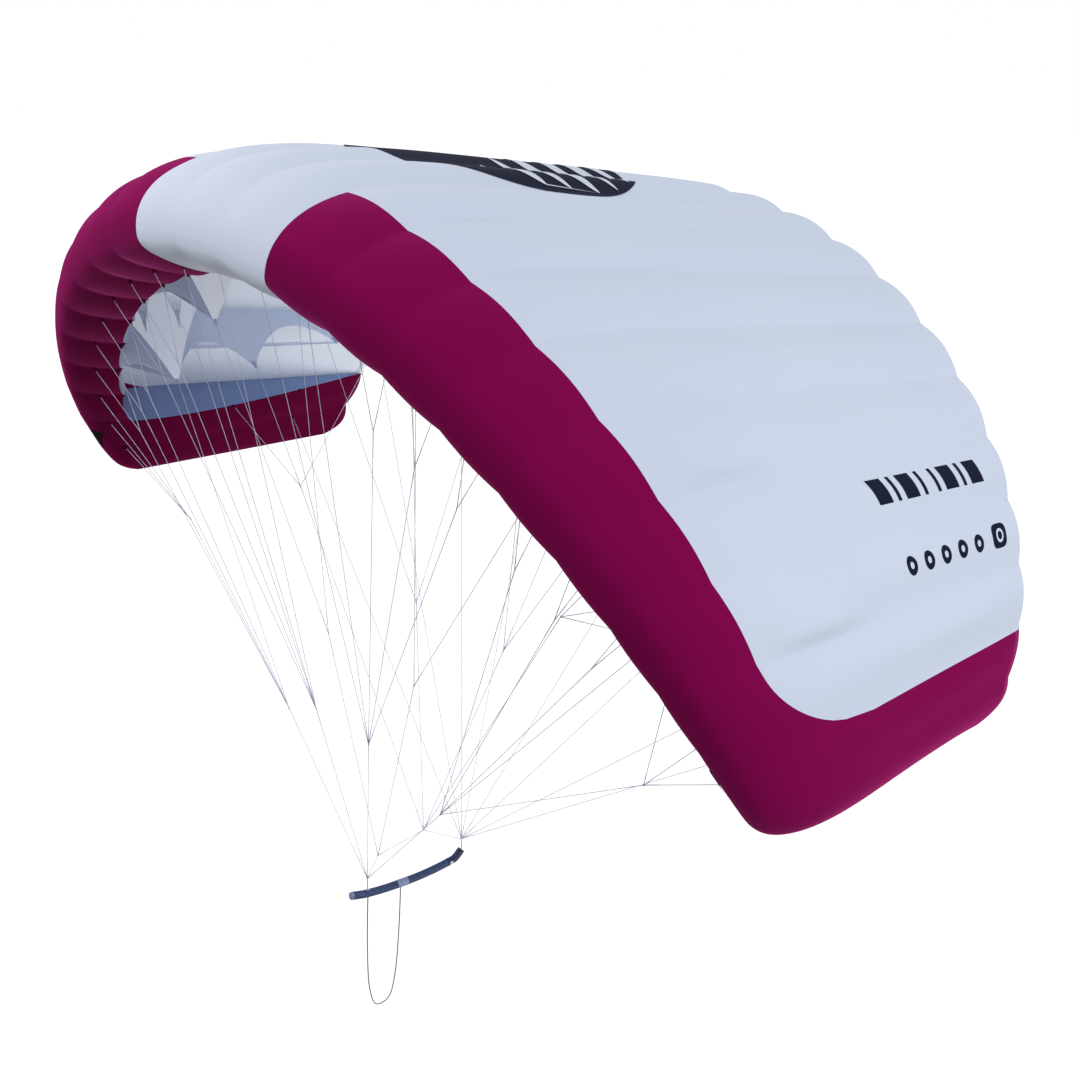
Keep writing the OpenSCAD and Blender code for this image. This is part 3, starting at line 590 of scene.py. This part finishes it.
# Each tab's rib and row:
TAB_ROWS = ([(n, ROW_A) for n in RIBS] + [(n, FORK) for n in range(3, 9)]
            + [(n, x) for n in DEEP for x in (ROW_B, ROW_C, ROW_D)]
            + [(n, x) for n in CLOSED for x in (ROW_C, ROW_D)])
plum_webbing = ripstop("plum_polyester_webbing", "#5E0634", "#52052C", "#3A0420", roughness=0.8)
pale_webbing = ripstop("pale_polyester_webbing", "#BCC4D8", "#B0B9CF", "#8089A4", roughness=0.8)


def row_z(n, x):
    """Height of rib n's lower edge at a row, in its plane: the aerofoil's, or a point's."""
    c = rib_chord(n)
    if x >= HEM and n not in CLOSED:
        return -c * DEPTH[x]
    return min(float(lower(x + k * 0.004 / c)) * c - 0.002 for k in (-1, 1))


def distances(path):
    """How far along a path each of its points is."""
    return np.concatenate([[0], steps(path).cumsum()])


# The webbing's path across the rib: down one side, round below the edge and up the other.
t = np.linspace(0, np.pi, 7)
fold = np.concatenate([[[-0.0012, 0.014], [-0.0012, 0.001]],
                       np.stack([-0.0018 * np.sin(t + np.pi / 2) - 0.0004 * np.cos(t),
                                 -0.0095 - 0.0022 * np.sin(t)], -1),
                       [[0.0012, 0.001], [0.0012, 0.014]]])
run = distances(fold)
plum_tabs, pale_tabs = [], []
for n, x in TAB_ROWS:
    y = x * rib_chord(n) + np.linspace(-0.004, 0.004, 3)
    fold_z = fold[:, 1] * np.where(fold[:, 1] > 0.002, 0.2 if x < HEM or n in CLOSED else 1, 1)
    points = place(n - 0.5, y[None, :], (row_z(n, x) + fold_z)[:, None], fold[:, :1])
    tabs = plum_tabs if n in CLOSED or n > 1 and x < HEM else pale_tabs
    tabs.append((points, grid_uv(run[:, None] + 0.02, y[None, :]), True))
for side, one, two in both_sides(plum_tabs, pale_tabs):
    make_piece(f"tabs_plum_{side}", one, plum_webbing, instead_of=[f"line_tabs_{side}"],
               thick=RIB_THICK)
    make_piece(f"tabs_pale_{side}", two, pale_webbing, thick=RIB_THICK)

# ---- Bridle ----
# Thin braided polyethylene lines, each sleeved at its ends, run from the tabs down through two or
# three levels of knots to four knots in the middle, the first and last of which carry the bar.
LINE = 0.00085   # a line's radius


def unit(v):
    """Vectors over their lengths."""
    return v / np.linalg.norm(v, axis=-1, keepdims=True)


def swept(path, radii, sides):
    """A round grid along a path: each ring is square to the mean of the two steps beside it, and
    starts square to one fixed axis, so that it doesn't twist."""
    path, radii = np.asarray(path, float), np.broadcast_to(radii, len(path))
    step = np.diff(path, axis=0)
    ahead = unit(np.concatenate([step[:1], step[:-1] + step[1:], step[-1:]]))
    steady = np.array([1.0, 0, 0]) if np.abs(ahead[:, 0]).max() < 0.9 else np.array([0, 0, 1.0])
    side = unit(np.cross(ahead, steady))
    other = np.cross(ahead, side)
    a = np.linspace(0, 2 * np.pi, sides + 1)[None, :, None]
    spoke = np.cos(a) * side[:, None] + np.sin(a) * other[:, None]
    around = a[0, :, 0] * float(radii.max())
    ring = path[:, None] + radii[:, None, None] * spoke
    return ring, grid_uv(around[None], distances(path)[:, None]), True


def line(a, b):
    """A line from a to b: its last 60 mm at each end are a sleeve, a third thicker."""
    a, b = np.asarray(a, float), np.asarray(b, float)
    h = float(np.linalg.norm(b - a))
    sleeve = min(0.06, h / 4)
    stops = np.array([0, 0.0003, sleeve, sleeve + 0.006,
                      h - sleeve - 0.006, h - sleeve, h - 0.0003, h])
    return swept(a + (b - a) * (stops / h)[:, None],
                 LINE * np.array([0.05, 1.3, 1.3, 1, 1, 1.3, 1.3, 0.05]), 6)


def turned(profile, base, axis, sides):
    """A body of revolution: profile is (radius, height) points, from the base along the axis."""
    profile, axis = np.asarray(profile, float), unit(np.asarray(axis, float))
    side = unit(np.cross(axis, [1.0, 0, 0] if abs(axis[0]) < 0.9 else [0, 0, 1.0]))
    other = np.cross(axis, side)
    a = np.linspace(0, 2 * np.pi, sides + 1)[None, :, None]
    points = (np.asarray(base) + axis * profile[:, 1, None, None]
              + profile[:, 0, None, None] * (np.cos(a) * side + np.sin(a) * other))
    run = distances(profile)
    return points, grid_uv(a[0, :, 0][None] * float(profile[:, 0].max()), run[:, None]), False


def knot(at, axis=(0, 0, 1), size=1.0):
    """A knot as a short barrel of three turns."""
    h = np.linspace(-1, 1, 15)
    r = np.sqrt(np.maximum(0.0004, 1 - h**4)) * (1 + 0.1 * np.cos(h * 3 * np.pi))
    return turned(np.stack([0.0021 * r, 0.0030 * h], -1) * size, at, axis, 12)


def line_end(n, x):
    """Where a line meets its tab."""
    return place(n - 0.5, x * rib_chord(n), row_z(n, x) - 0.0112)


def braid(name, colour, deep, pitch, roughness=0.55):
    """A braid of polyethylene or polyester fibre: two sets of strands that cross at a pitch, with
    a dull waxy gleam."""
    mat, tree, shader = new_material(name)
    uv = add(tree, "UVMap", uv_map="Cloth")
    cut = add(tree, "SeparateXYZ", Vector=uv)
    right = add(tree, "Math", operation="ADD", i0=cut, i1=cut.outputs[1])
    left = add(tree, "Math", operation="SUBTRACT", i0=cut, i1=cut.outputs[1])
    strand_a = add(tree, "Math", operation="PINGPONG", i0=right, i1=pitch)
    strand_b = add(tree, "Math", operation="PINGPONG", i0=left, i1=pitch)
    relief = add(tree, "Math", operation="ADD", i0=strand_a, i1=strand_b)
    share = add(tree, "Math", operation="DIVIDE", i0=relief, i1=2 * pitch)
    tone = add(tree, "MixRGB", Fac=share, Color1=linear(deep), Color2=linear(colour))
    bump = add(tree, "Bump", Height=share, Strength=0.5, Distance=0.0004)
    fill(tree, shader, Base_Color=tone, Normal=bump, Roughness=roughness)
    return mat


line_braid = braid("white_polyethylene_line", "#DCE0EB", "#C0C5D5", 0.0009)
# The four knots in the middle, and the knots above them on the left:
FRONT, SECOND, THIRD, REAR = (np.array(p) / 1000 for p in (
    (0, -108.47, 54.99), (0, -74, 112), (0, 71, 135), (0, 197, 61)))
A_OUTER, A_INNER, A_TIP, B_KNOT, C_INNER, C_OUTER = (np.array(p) / 1000 for p in (
    (346, -123, 415), (120, -174, 521), (971, -67, 759), (191, -88, 682), (189, 185, 699),
    (553, 58, 951)))


def fork(top, n):
    """A line that splits in two 205 mm below rib n."""
    legs = [line_end(n, ROW_A), line_end(n, FORK)]
    middle = (legs[0] + legs[1]) / 2
    split = middle + unit(top - middle) * 0.205
    return [line(top, split), knot(split, top - split, 0.6)] + [line(split, leg) for leg in legs]


bridle = {
    "a_lines": [line(A_OUTER, line_end(8, ROW_B)), line(A_TIP, A_OUTER), line(A_OUTER, FRONT),
                line(A_INNER, FRONT), knot(A_OUTER), knot(A_INNER), knot(A_TIP)]
    + [line(A_TIP, line_end(n, ROW_A)) for n in (9, 10, 11)]
    + [line(A_INNER, line_end(n, ROW_A)) for n in (1, 2)]
    + [g for n in (3, 4, 5) for g in fork(A_INNER, n)]
    + [g for n in (6, 7, 8) for g in fork(A_OUTER, n)],
    "b_lines": [line(B_KNOT, SECOND), knot(B_KNOT)]
    + [line(B_KNOT, line_end(n, ROW_B)) for n in (2, 5)],
    "c_lines": [line(C_INNER, THIRD), line(C_OUTER, THIRD), knot(C_INNER), knot(C_OUTER)]
    + [line(C_INNER, line_end(n, x)) for n, x in ((2, ROW_C), (5, ROW_C), (2, ROW_D))]
    + [line(C_OUTER, line_end(n, x)) for n, x in ((8, ROW_C), (10, ROW_C), (5, ROW_D))],
    "brake_lines": [line(REAR, place(n - 0.5, 0.985 * rib_chord(n), -0.0034))
                    for n in (3, 6, 9)] + [line(REAR, line_end(11, ROW_D))],
}
for name, grids in bridle.items():
    for side, some in both_sides(grids):
        make_piece(f"{name}_braid_{side}", some, line_braid, instead_of=[f"{name}_{side}"])
spine = [line(FRONT, SECOND), line(SECOND, THIRD), line(THIRD, REAR)]
spine += [knot(p, (0, 1, 0)) for p in (FRONT, SECOND, THIRD, REAR)]
make_piece("spine_line_braid", spine, line_braid, instead_of=["spine_line"])

# ---- Bar ----
# An aluminium tube, cranked up a little at its rear end, in two grips of speckled navy EVA foam.
# A pale plastic hub sits between them, and plastic plugs close both ends.
TILT = math.radians(2.5)  # how far the hub leans
GRIP = 0.0106             # radius of the grips and of the plugs
TUBE = 0.007              # radius of the tube
HUB = 0.017               # half the hub's length
SEAT = 0.016              # length of the straight seat of each arm
FRONT_ARM = (0.084, 0.080, math.radians(6), 0.033)   # long curve, bend's radius, bend, end
REAR_ARM = (0.132, 0.030, math.radians(36), 0.017)


def bar_arm(sign, long, bend, turn, end):
    """Points along an arm from the hub out: a long curve, a straight seat, a short bend and a
    straight end, each bent upwards by its own slope, and all turned down by the hub's tilt."""
    y, z, slope = [HUB], [0.0], 0.0
    for length, more in ((long, long / 0.8), (SEAT, 0), (bend * turn, turn), (end, 0)):
        for _ in range(16):
            slope += more / 32
            y.append(y[-1] + length / 16 * math.cos(slope))
            z.append(z[-1] + length / 16 * math.sin(slope))
            slope += more / 32
    y, z = np.array(y) * sign, np.array(z)
    return np.stack([0 * y, y * math.cos(TILT) + z * math.sin(TILT),
                     -y * math.sin(TILT) + z * math.cos(TILT)], -1)


def stretch(path, stops):
    """Points at the given distances along a path."""
    return np.stack([np.interp(stops, distances(path), path[:, i]) for i in range(3)], -1)


def sleeve_on(path, start, stop):
    """A sleeve round a path between two distances along it, with rounded ends."""
    ease = 0.0012 * (1 - np.cos(np.linspace(0, np.pi / 2, 5)))
    rim = GRIP - 0.0012 + 0.0012 * np.sin(np.linspace(0, np.pi / 2, 5))
    stops = np.concatenate([[start], start + 0.00005 + ease,
                            np.linspace(start + 0.004, stop - 0.004, 40),
                            (stop - 0.00005 - ease)[::-1], [stop]])
    core = [TUBE + 0.0001]
    radii = np.concatenate([core, rim, np.full(40, GRIP), rim[::-1], core])
    return swept(stretch(path, stops), radii, 32)


def foam(name, colour, fleck, shade):
    """EVA foam, moulded with flecks of a second colour of 1 to 2 mm: matt, with a fine pebble."""
    mat, tree, shader = new_material(name)
    coords = add(tree, "TexCoord")
    cells = add(tree, "TexVoronoi", Vector=coords.outputs["Object"], Scale=620.0)
    pick = add(tree, "SeparateColor", i0=cells.outputs["Color"])
    is_fleck = add(tree, "Math", operation="GREATER_THAN", i0=pick, i1=0.74)
    is_shade = add(tree, "Math", operation="LESS_THAN", i0=pick, i1=0.2)
    one = add(tree, "MixRGB", Fac=is_fleck, Color1=linear(colour), Color2=linear(fleck))
    two = add(tree, "MixRGB", Fac=is_shade, Color1=one, Color2=linear(shade))
    pebble = add(tree, "TexNoise", Vector=coords.outputs["Object"], Scale=900.0, Detail=2.0)
    bump = add(tree, "Bump", Height=pebble, Strength=0.35, Distance=0.0003)
    fill(tree, shader, Base_Color=two, Normal=bump, Roughness=0.7)
    return mat


def moulded(name, colour, roughness, metallic=0.0):
    """A hard moulded or turned part: one colour, with the faint unevenness of its surface."""
    mat, tree, shader = new_material(name)
    coords = add(tree, "TexCoord")
    noise = add(tree, "TexNoise", Vector=coords.outputs["Object"], Scale=260.0, Detail=2.0)
    rough = add(tree, "MapRange", Value=noise, To_Min=roughness - 0.06, To_Max=roughness + 0.06)
    bump = add(tree, "Bump", Height=noise, Strength=0.1, Distance=0.0002)
    fill(tree, shader, Base_Color=linear(colour), Metallic=metallic, Roughness=rough, Normal=bump)
    return mat


front_arm, rear_arm = bar_arm(-1, *FRONT_ARM), bar_arm(1, *REAR_ARM)
front_long, rear_long = (long + SEAT + bend * turn + end
                         for long, bend, turn, end in (FRONT_ARM, REAR_ARM))
# Middles of the holes for the front line and for the side eyelet:
FRONT_BORE, EYELET = np.array([0, -0.108469, 0.009985]), np.array([0, 0.156676, 0.005350])
# The path's two end points are doubled, each for a ring of almost no width.
whole = np.concatenate([front_arm[::-1], rear_arm])
closed = np.concatenate([whole[:1], whole, whole[-1:] + [[0, 1e-5, 0]]])
tube = swept(closed, np.r_[0.0001, np.full(len(whole), TUBE), 0.0001], 24)
navy_foam = foam("speckled_navy_eva_foam", "#27325A", "#2F5A84", "#1D2444")
rubber = moulded("dark_navy_rubber", "#20264A", 0.6)
lilac_plastic = moulded("lilac_moulded_nylon", "#7E88B0", 0.45)
hub_axis = np.array([0, math.cos(TILT), -math.sin(TILT)])
h = np.linspace(-1, 1, 61)
ridge = 0.0107 + 0.0004 * np.cos(h * 7 * np.pi) * (np.abs(h) < 0.86)
end_round = 0.0012 * np.clip(np.abs(h) - 0.97, 0, 1) / 0.03
flange = np.where(np.abs(h) > 0.86, 0.0111 - end_round, ridge)
profile = np.stack([np.r_[0.0072, flange, 0.0072], HUB * np.r_[-1, h, 1]], -1)


def cap(end, before, hollow):
    """An end plug: a disc 4 mm thick with a round edge, and a hole for a line where hollow."""
    axis = end - before
    face = [(hollow, -0.008), (hollow, 0.0035), (hollow + 0.0006, 0.004)] if hollow else []
    start = face[::-1] if hollow else [(0.00002, 0.0042), (0.004, 0.0041)]
    body = [(GRIP - 0.0012, 0.004), (GRIP - 0.0003, 0.0036), (GRIP, 0.0028),
            (GRIP, 0.0003), (GRIP - 0.0003, 0), (0.00002, 0)]
    return turned((start + body)[::-1], end, axis, 36)


def lined_hole(middle, axis, bore, lip):
    """A tube through the bar with a rolled lip at both ends, a millimetre proud of the grip."""
    wall, half = bore + 0.0012, GRIP + 0.001
    side = [(bore, half - 0.0004), (bore + 0.0004, half), (wall + lip - 0.0004, half),
            (wall + lip, half - 0.0005), (wall + lip - 0.0004, half - 0.001), (wall, half - 0.0011)]
    other = [(r, -z) for r, z in side[::-1]]
    return turned((side + other + side[:1])[::-1], middle, axis, 28)


aluminium = moulded("anodised_aluminium_tube", "#8A90A0", 0.35, metallic=1.0)
steel = moulded("polished_stainless_steel", "#C9CCD2", 0.2, metallic=1.0)
white_plastic = moulded("white_acetal_plastic", "#E9ECF2", 0.4)
for name, grid, material, node in (
        ("bar_core", tube, aluminium, "bar_tube"),
        ("grip_foam_front", sleeve_on(front_arm, 0.0003, front_long - 0.0002), navy_foam,
         "grip_front"),
        ("grip_foam_rear", sleeve_on(rear_arm, 0.0003, REAR_ARM[0]), navy_foam, "grip_rear"),
        ("tip_rubber", sleeve_on(rear_arm, 0.1322, rear_long - 0.0002), rubber, "tip_sleeve"),
        ("hub_plastic", turned(profile, (0, 0, 0), hub_axis, 48), lilac_plastic, "hub_sleeve"),
        ("plug_lilac_front", cap(front_arm[-1], front_arm[-3], 0), lilac_plastic, "plug_front"),
        ("plug_navy_rear", cap(rear_arm[-1], rear_arm[-3], 0.0018), rubber, "plug_rear"),
        ("ferrule_steel", lined_hole(FRONT_BORE, (0, 0, 1), 0.0018, 0.0012), steel,
         "front_ferrule"),
        ("eyelet_white", lined_hole(EYELET, (1, 0, 0), 0.0025, 0.0016), white_plastic,
         "side_eyelet")):
    make_piece(name, [grid], material, "bar", [node])

# ---- Leaders ----
# Two short 3 mm ropes of braided polyester carry the bar: one from the first knot to the steel
# ferrule, one from the last knot to the bar's rear end. Both are drawn straight; the rear one
# slackens on the real bar as it is pulled in.
ROPE = 0.0015   # the leaders' radius
rope = braid("grey_polyester_rope", "#C8CDDD", "#8E95AE", 0.0011)


def rope_end(a, b):
    """A short rope from a to b, whipped with thread for its last 5 mm at both ends."""
    a, b = np.asarray(a, float), np.asarray(b, float)
    k = np.array([0, 0.01, 0.03, 0.17, 0.19, 0.81, 0.83, 0.97, 0.99, 1])
    r = ROPE * np.array([0.05, 1, 1.1, 1.1, 1, 1, 1.1, 1.1, 1, 0.05])
    return swept(a + (b - a) * k[:, None], r, 12)


make_piece("leader_rope_front", [rope_end(FRONT - [0, 0, 0.0031], FRONT_BORE + [0, 0, 0.0118])],
           rope, "leaders", ["front_leader"])
rear_foot = rear_arm[-1] + unit(rear_arm[-1] - rear_arm[-3]) * 0.0048
piece = make_piece("leader_rope_rear", [rope_end(REAR - [0, 0, 0.0031], rear_foot)], rope,
                   "leaders", ["rear_leader"])
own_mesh(piece)

# ---- Harness loop ----
# A long loop of thin grey-blue braided rope, clipped to the rider's harness. It leaves the bar
# under the ferrule, hangs about 0.34 m deep, and comes back up into the hub.
loop_points = np.array([
    (0, -108.47, 7.98), (0, -108.47, -8.02), (0, -111, -65), (0, -113, -159), (0, -112, -255),
    (0, -105, -310), (0, -98, -335), (0, -88, -349), (0, -73, -353), (0, -54, -348),
    (0, -38, -326), (0, -24, -262), (0, -15, -179), (0, -9, -98), (0, -5, -15), (0, -4, -2)]) / 1000


def smooth_path(points, parts):
    """A Catmull-Rom curve: each step between b and c also leans on their neighbours a and d."""
    p = np.concatenate([points[:1], points, points[-1:]])
    a, b, c, d = (p[i : len(p) - 3 + i, None] for i in range(4))
    t = (np.arange(parts) / parts)[None, :, None]
    curve = 0.5 * (2 * b + (c - a) * t + (2 * a - 5 * b + 4 * c - d) * t**2
                   + (3 * b - a - 3 * c + d) * t**3)
    return np.concatenate([curve.reshape(-1, 3), points[-1:]])


loop_path = smooth_path(loop_points, 12)
loop_rope = braid("blue_grey_loop_rope", "#6E7594", "#4A5070", 0.0012, roughness=0.6)
radii = np.full(len(loop_path), 0.0016)
radii[[0, -1]] = 0.0001
loop = make_piece("loop_rope", [swept(loop_path, radii, 12)], loop_rope, "bar", ["harness_loop"])

# ---- Marks ----
# Cut from thin navy sticky-back nylon and pressed on: a big round mark with pale strips on the
# middle cells, and two rows by the trailing edge at each side, with bars, rings and a badge.
STUCK = 0.0012   # how far a mark stands off the skin
navy_cloth = ripstop("navy_insignia_nylon", "#1E2338", "#191D30", "#101324", gloss=0.02)
light_cloth = ripstop("white_insignia_nylon", "#DDE3EC", "#D8DEE8", "#B9C2D2")


def patch(u, x, lift, flip=False):
    """A patch of cloth on the skin at u cells and chord shares x."""
    u, x = np.broadcast_arrays(u, x)
    return skin(u, np.sqrt(x), lift), grid_uv(u * CELL + 0.05, x * CLOTH_CHORD), flip


def bar_mark(u, x, tall, wide, slant):
    """A slanted bar: tall across the cell and wide along the chord, in metres."""
    a, b = np.meshgrid(np.linspace(-0.5, 0.5, 9), np.linspace(-0.5, 0.5, 3))
    c, w = float(chord_at(u)), CELL * float(width_share(u))
    return patch(u + a * tall / w, x + (b * wide + a * tall * slant) / c, STUCK, True)


def round_mark(u, x, inner, outer, square=1.0, stretch_x=1.0, lift=STUCK):
    """A ring, or a disc where inner is 0; square below 1 makes it a rounded box."""
    a, r = np.meshgrid(np.linspace(0, 2 * np.pi, 49), np.linspace(inner, outer, 4))
    c, w = float(chord_at(u)), CELL * float(width_share(u))
    ca, sa = np.cos(a), np.sin(a)
    du, dx = np.sign(sa) * np.abs(sa) ** square * r, np.sign(ca) * np.abs(ca) ** square * r
    return patch(u + du / w, x + dx * stretch_x / c, lift)


def emblem(a, r, lift):
    """A point of the round mark on the middle cells: a is its angle and r its share of the way
    out from the middle."""
    return patch(-0.1 + 1.66 * r * np.cos(a), 0.53 + 0.235 * r * np.sin(a), lift)


def emblem_strip(y, x0, x1, half):
    """A lens-shaped strip across the round mark at height y, from x0 to x1 across it, rising."""
    k, w = np.meshgrid(np.linspace(0, 1, 40), np.linspace(-1, 1, 5))
    x, h = x0 + (x1 - x0) * k, y + 0.12 * (k - 0.5) + w * half * np.sin(np.pi * k) ** 0.6
    return emblem(np.arctan2(h, x), np.hypot(h, x), 0.0036)


a, r = np.meshgrid(np.linspace(0, 2 * np.pi, 97), np.linspace(0, 1, 60))
make_piece("mark_round", [emblem(a, r, 0.0022)], navy_cloth)
motifs = [emblem_strip(y, x0, x1, half) for y, x0, x1, half in (
    (0.80, -0.30, 0.42, 0.045), (0.60, -0.55, 0.70, 0.06), (0.38, -0.75, 0.86, 0.05),
    (0.16, -0.10, 0.93, 0.06), (-0.06, 0.10, 0.90, 0.045), (-0.26, 0.30, 0.88, 0.05))]
make_piece("mark_round_strips", motifs, light_cloth)
small = [bar_mark(7.0, x, 0.052, wide, 0.35) for x, wide in zip(
    np.linspace(0.59, 0.89, 8), (0.05, 0.012, 0.05, 0.012, 0.012, 0.05, 0.012, 0.05))]
small += [round_mark(8.02, x, 0.007, 0.0185) for x in (0.60, 0.66, 0.72, 0.78, 0.84)]
small.append(round_mark(8.0, 0.92, 0, 0.026, 0.55, 1.15))
badge = [round_mark(8.0, 0.92, 0.009, 0.015, lift=0.002)]
for side, grids, over in both_sides(small, badge):
    make_piece(f"marks_{side}", grids, navy_cloth)
    make_piece(f"badge_ring_{side}", over, light_cloth)

# ---- Studio ----
# A pale floor well under the bar, a pale surround and three soft lamps: one at the right, one in
# front at the left, and one behind that stands for the daylight which comes through the cloth.
world = bpy.data.worlds.new("pale_room")
bpy.context.scene.world = world
world.use_nodes = True
tree = world.node_tree
tree.nodes.clear()
coords = add(tree, "TexCoord")
up = add(tree, "SeparateXYZ", Vector=coords.outputs["Generated"])
height = add(tree, "MapRange", Value=up.outputs[2], From_Min=-0.8, From_Max=0.1)
sky = add(tree, "MixRGB", Fac=height, Color1=linear("#B4B4B8"), Color2=linear("#F0F3FC"))
light = add(tree, "Background", Color=sky, Strength=0.86)
plain = add(tree, "Background", Color=(1, 1, 1, 1), Strength=1.0)
ray = add(tree, "LightPath")
glossy = add(tree, "Math", operation="MAXIMUM", i0=ray.outputs["Is Camera Ray"],
             i1=ray.outputs["Is Glossy Ray"])
seen = add(tree, "Math", operation="MAXIMUM", i0=glossy, i1=ray.outputs["Is Transmission Ray"])
both = add(tree, "MixShader", Fac=seen, i1=light, i2=plain)
add(tree, "OutputWorld", Surface=both)

FLOOR_Z = -1.3
floor_mesh = bpy.data.meshes.new("floor")
corners = [(x, y, FLOOR_Z) for x, y in ((-30, -30), (30, -30), (30, 30), (-30, 30))]
floor_mesh.from_pydata(corners, [], [(0, 1, 2, 3)])
floor = new_object("floor", floor_mesh)
mat, tree, shader = new_material("pale_floor_paint")
glow = add(tree, "Math", operation="MULTIPLY", i0=add(tree, "LightPath"), i1=0.9)
fill(tree, shader, Base_Color=(0.22, 0.22, 0.22, 1), Roughness=0.9,
     Emission_Color=(1, 1, 1, 1), Emission_Strength=glow)
floor_mesh.materials.append(mat)


def lamp(name, at, aim, size, watts, colour):
    """A square soft lamp at a place, faced to its aim."""
    data = bpy.data.lights.new(name, "AREA")
    data.shape, data.size, data.energy, data.color = "SQUARE", size, watts, linear(colour)[:3]
    obj = new_object(name, data)
    obj.visible_camera = False
    obj.location = at
    obj.rotation_euler = (Vector(aim) - Vector(at)).to_track_quat("-Z", "Y").to_euler()


lamp("right_lamp", (5.0, 0.9, 1.3), (0.9, 0.3, 1.1), 3.0, 52, "#F4F8FF")
lamp("left_lamp", (-3.4, -3.1, 3.3), (-0.8, -0.4, 1.5), 2.4, 70, "#FFF6FA")
lamp("inner_lamp", (0.6, 2.4, -0.6), (-0.8, 0.3, 1.4), 1.6, 80, "#FFF8F2")

# ---- Camera ----
# It stands in front of the left tip, a little above the wing, and looks down along the nose.
AZIMUTH, ELEVATION, ROLL = 50.31, 20.72, 1.272
camera_data = bpy.data.cameras.new("camera")
camera_data.lens, camera_data.sensor_width, camera_data.clip_end = 52.09, 36.0, 100
camera = new_object("camera", camera_data)
camera.matrix_world = Matrix.Translation((2.972, -2.0145, 2.3369))
for degrees, axis in ((AZIMUTH, "Z"), (90 - ELEVATION, "X"), (ROLL, "Z")):
    camera.matrix_world @= Matrix.Rotation(math.radians(degrees), 4, axis)
bpy.context.scene.camera = camera
bpy.context.scene.view_settings.view_transform = "Standard"
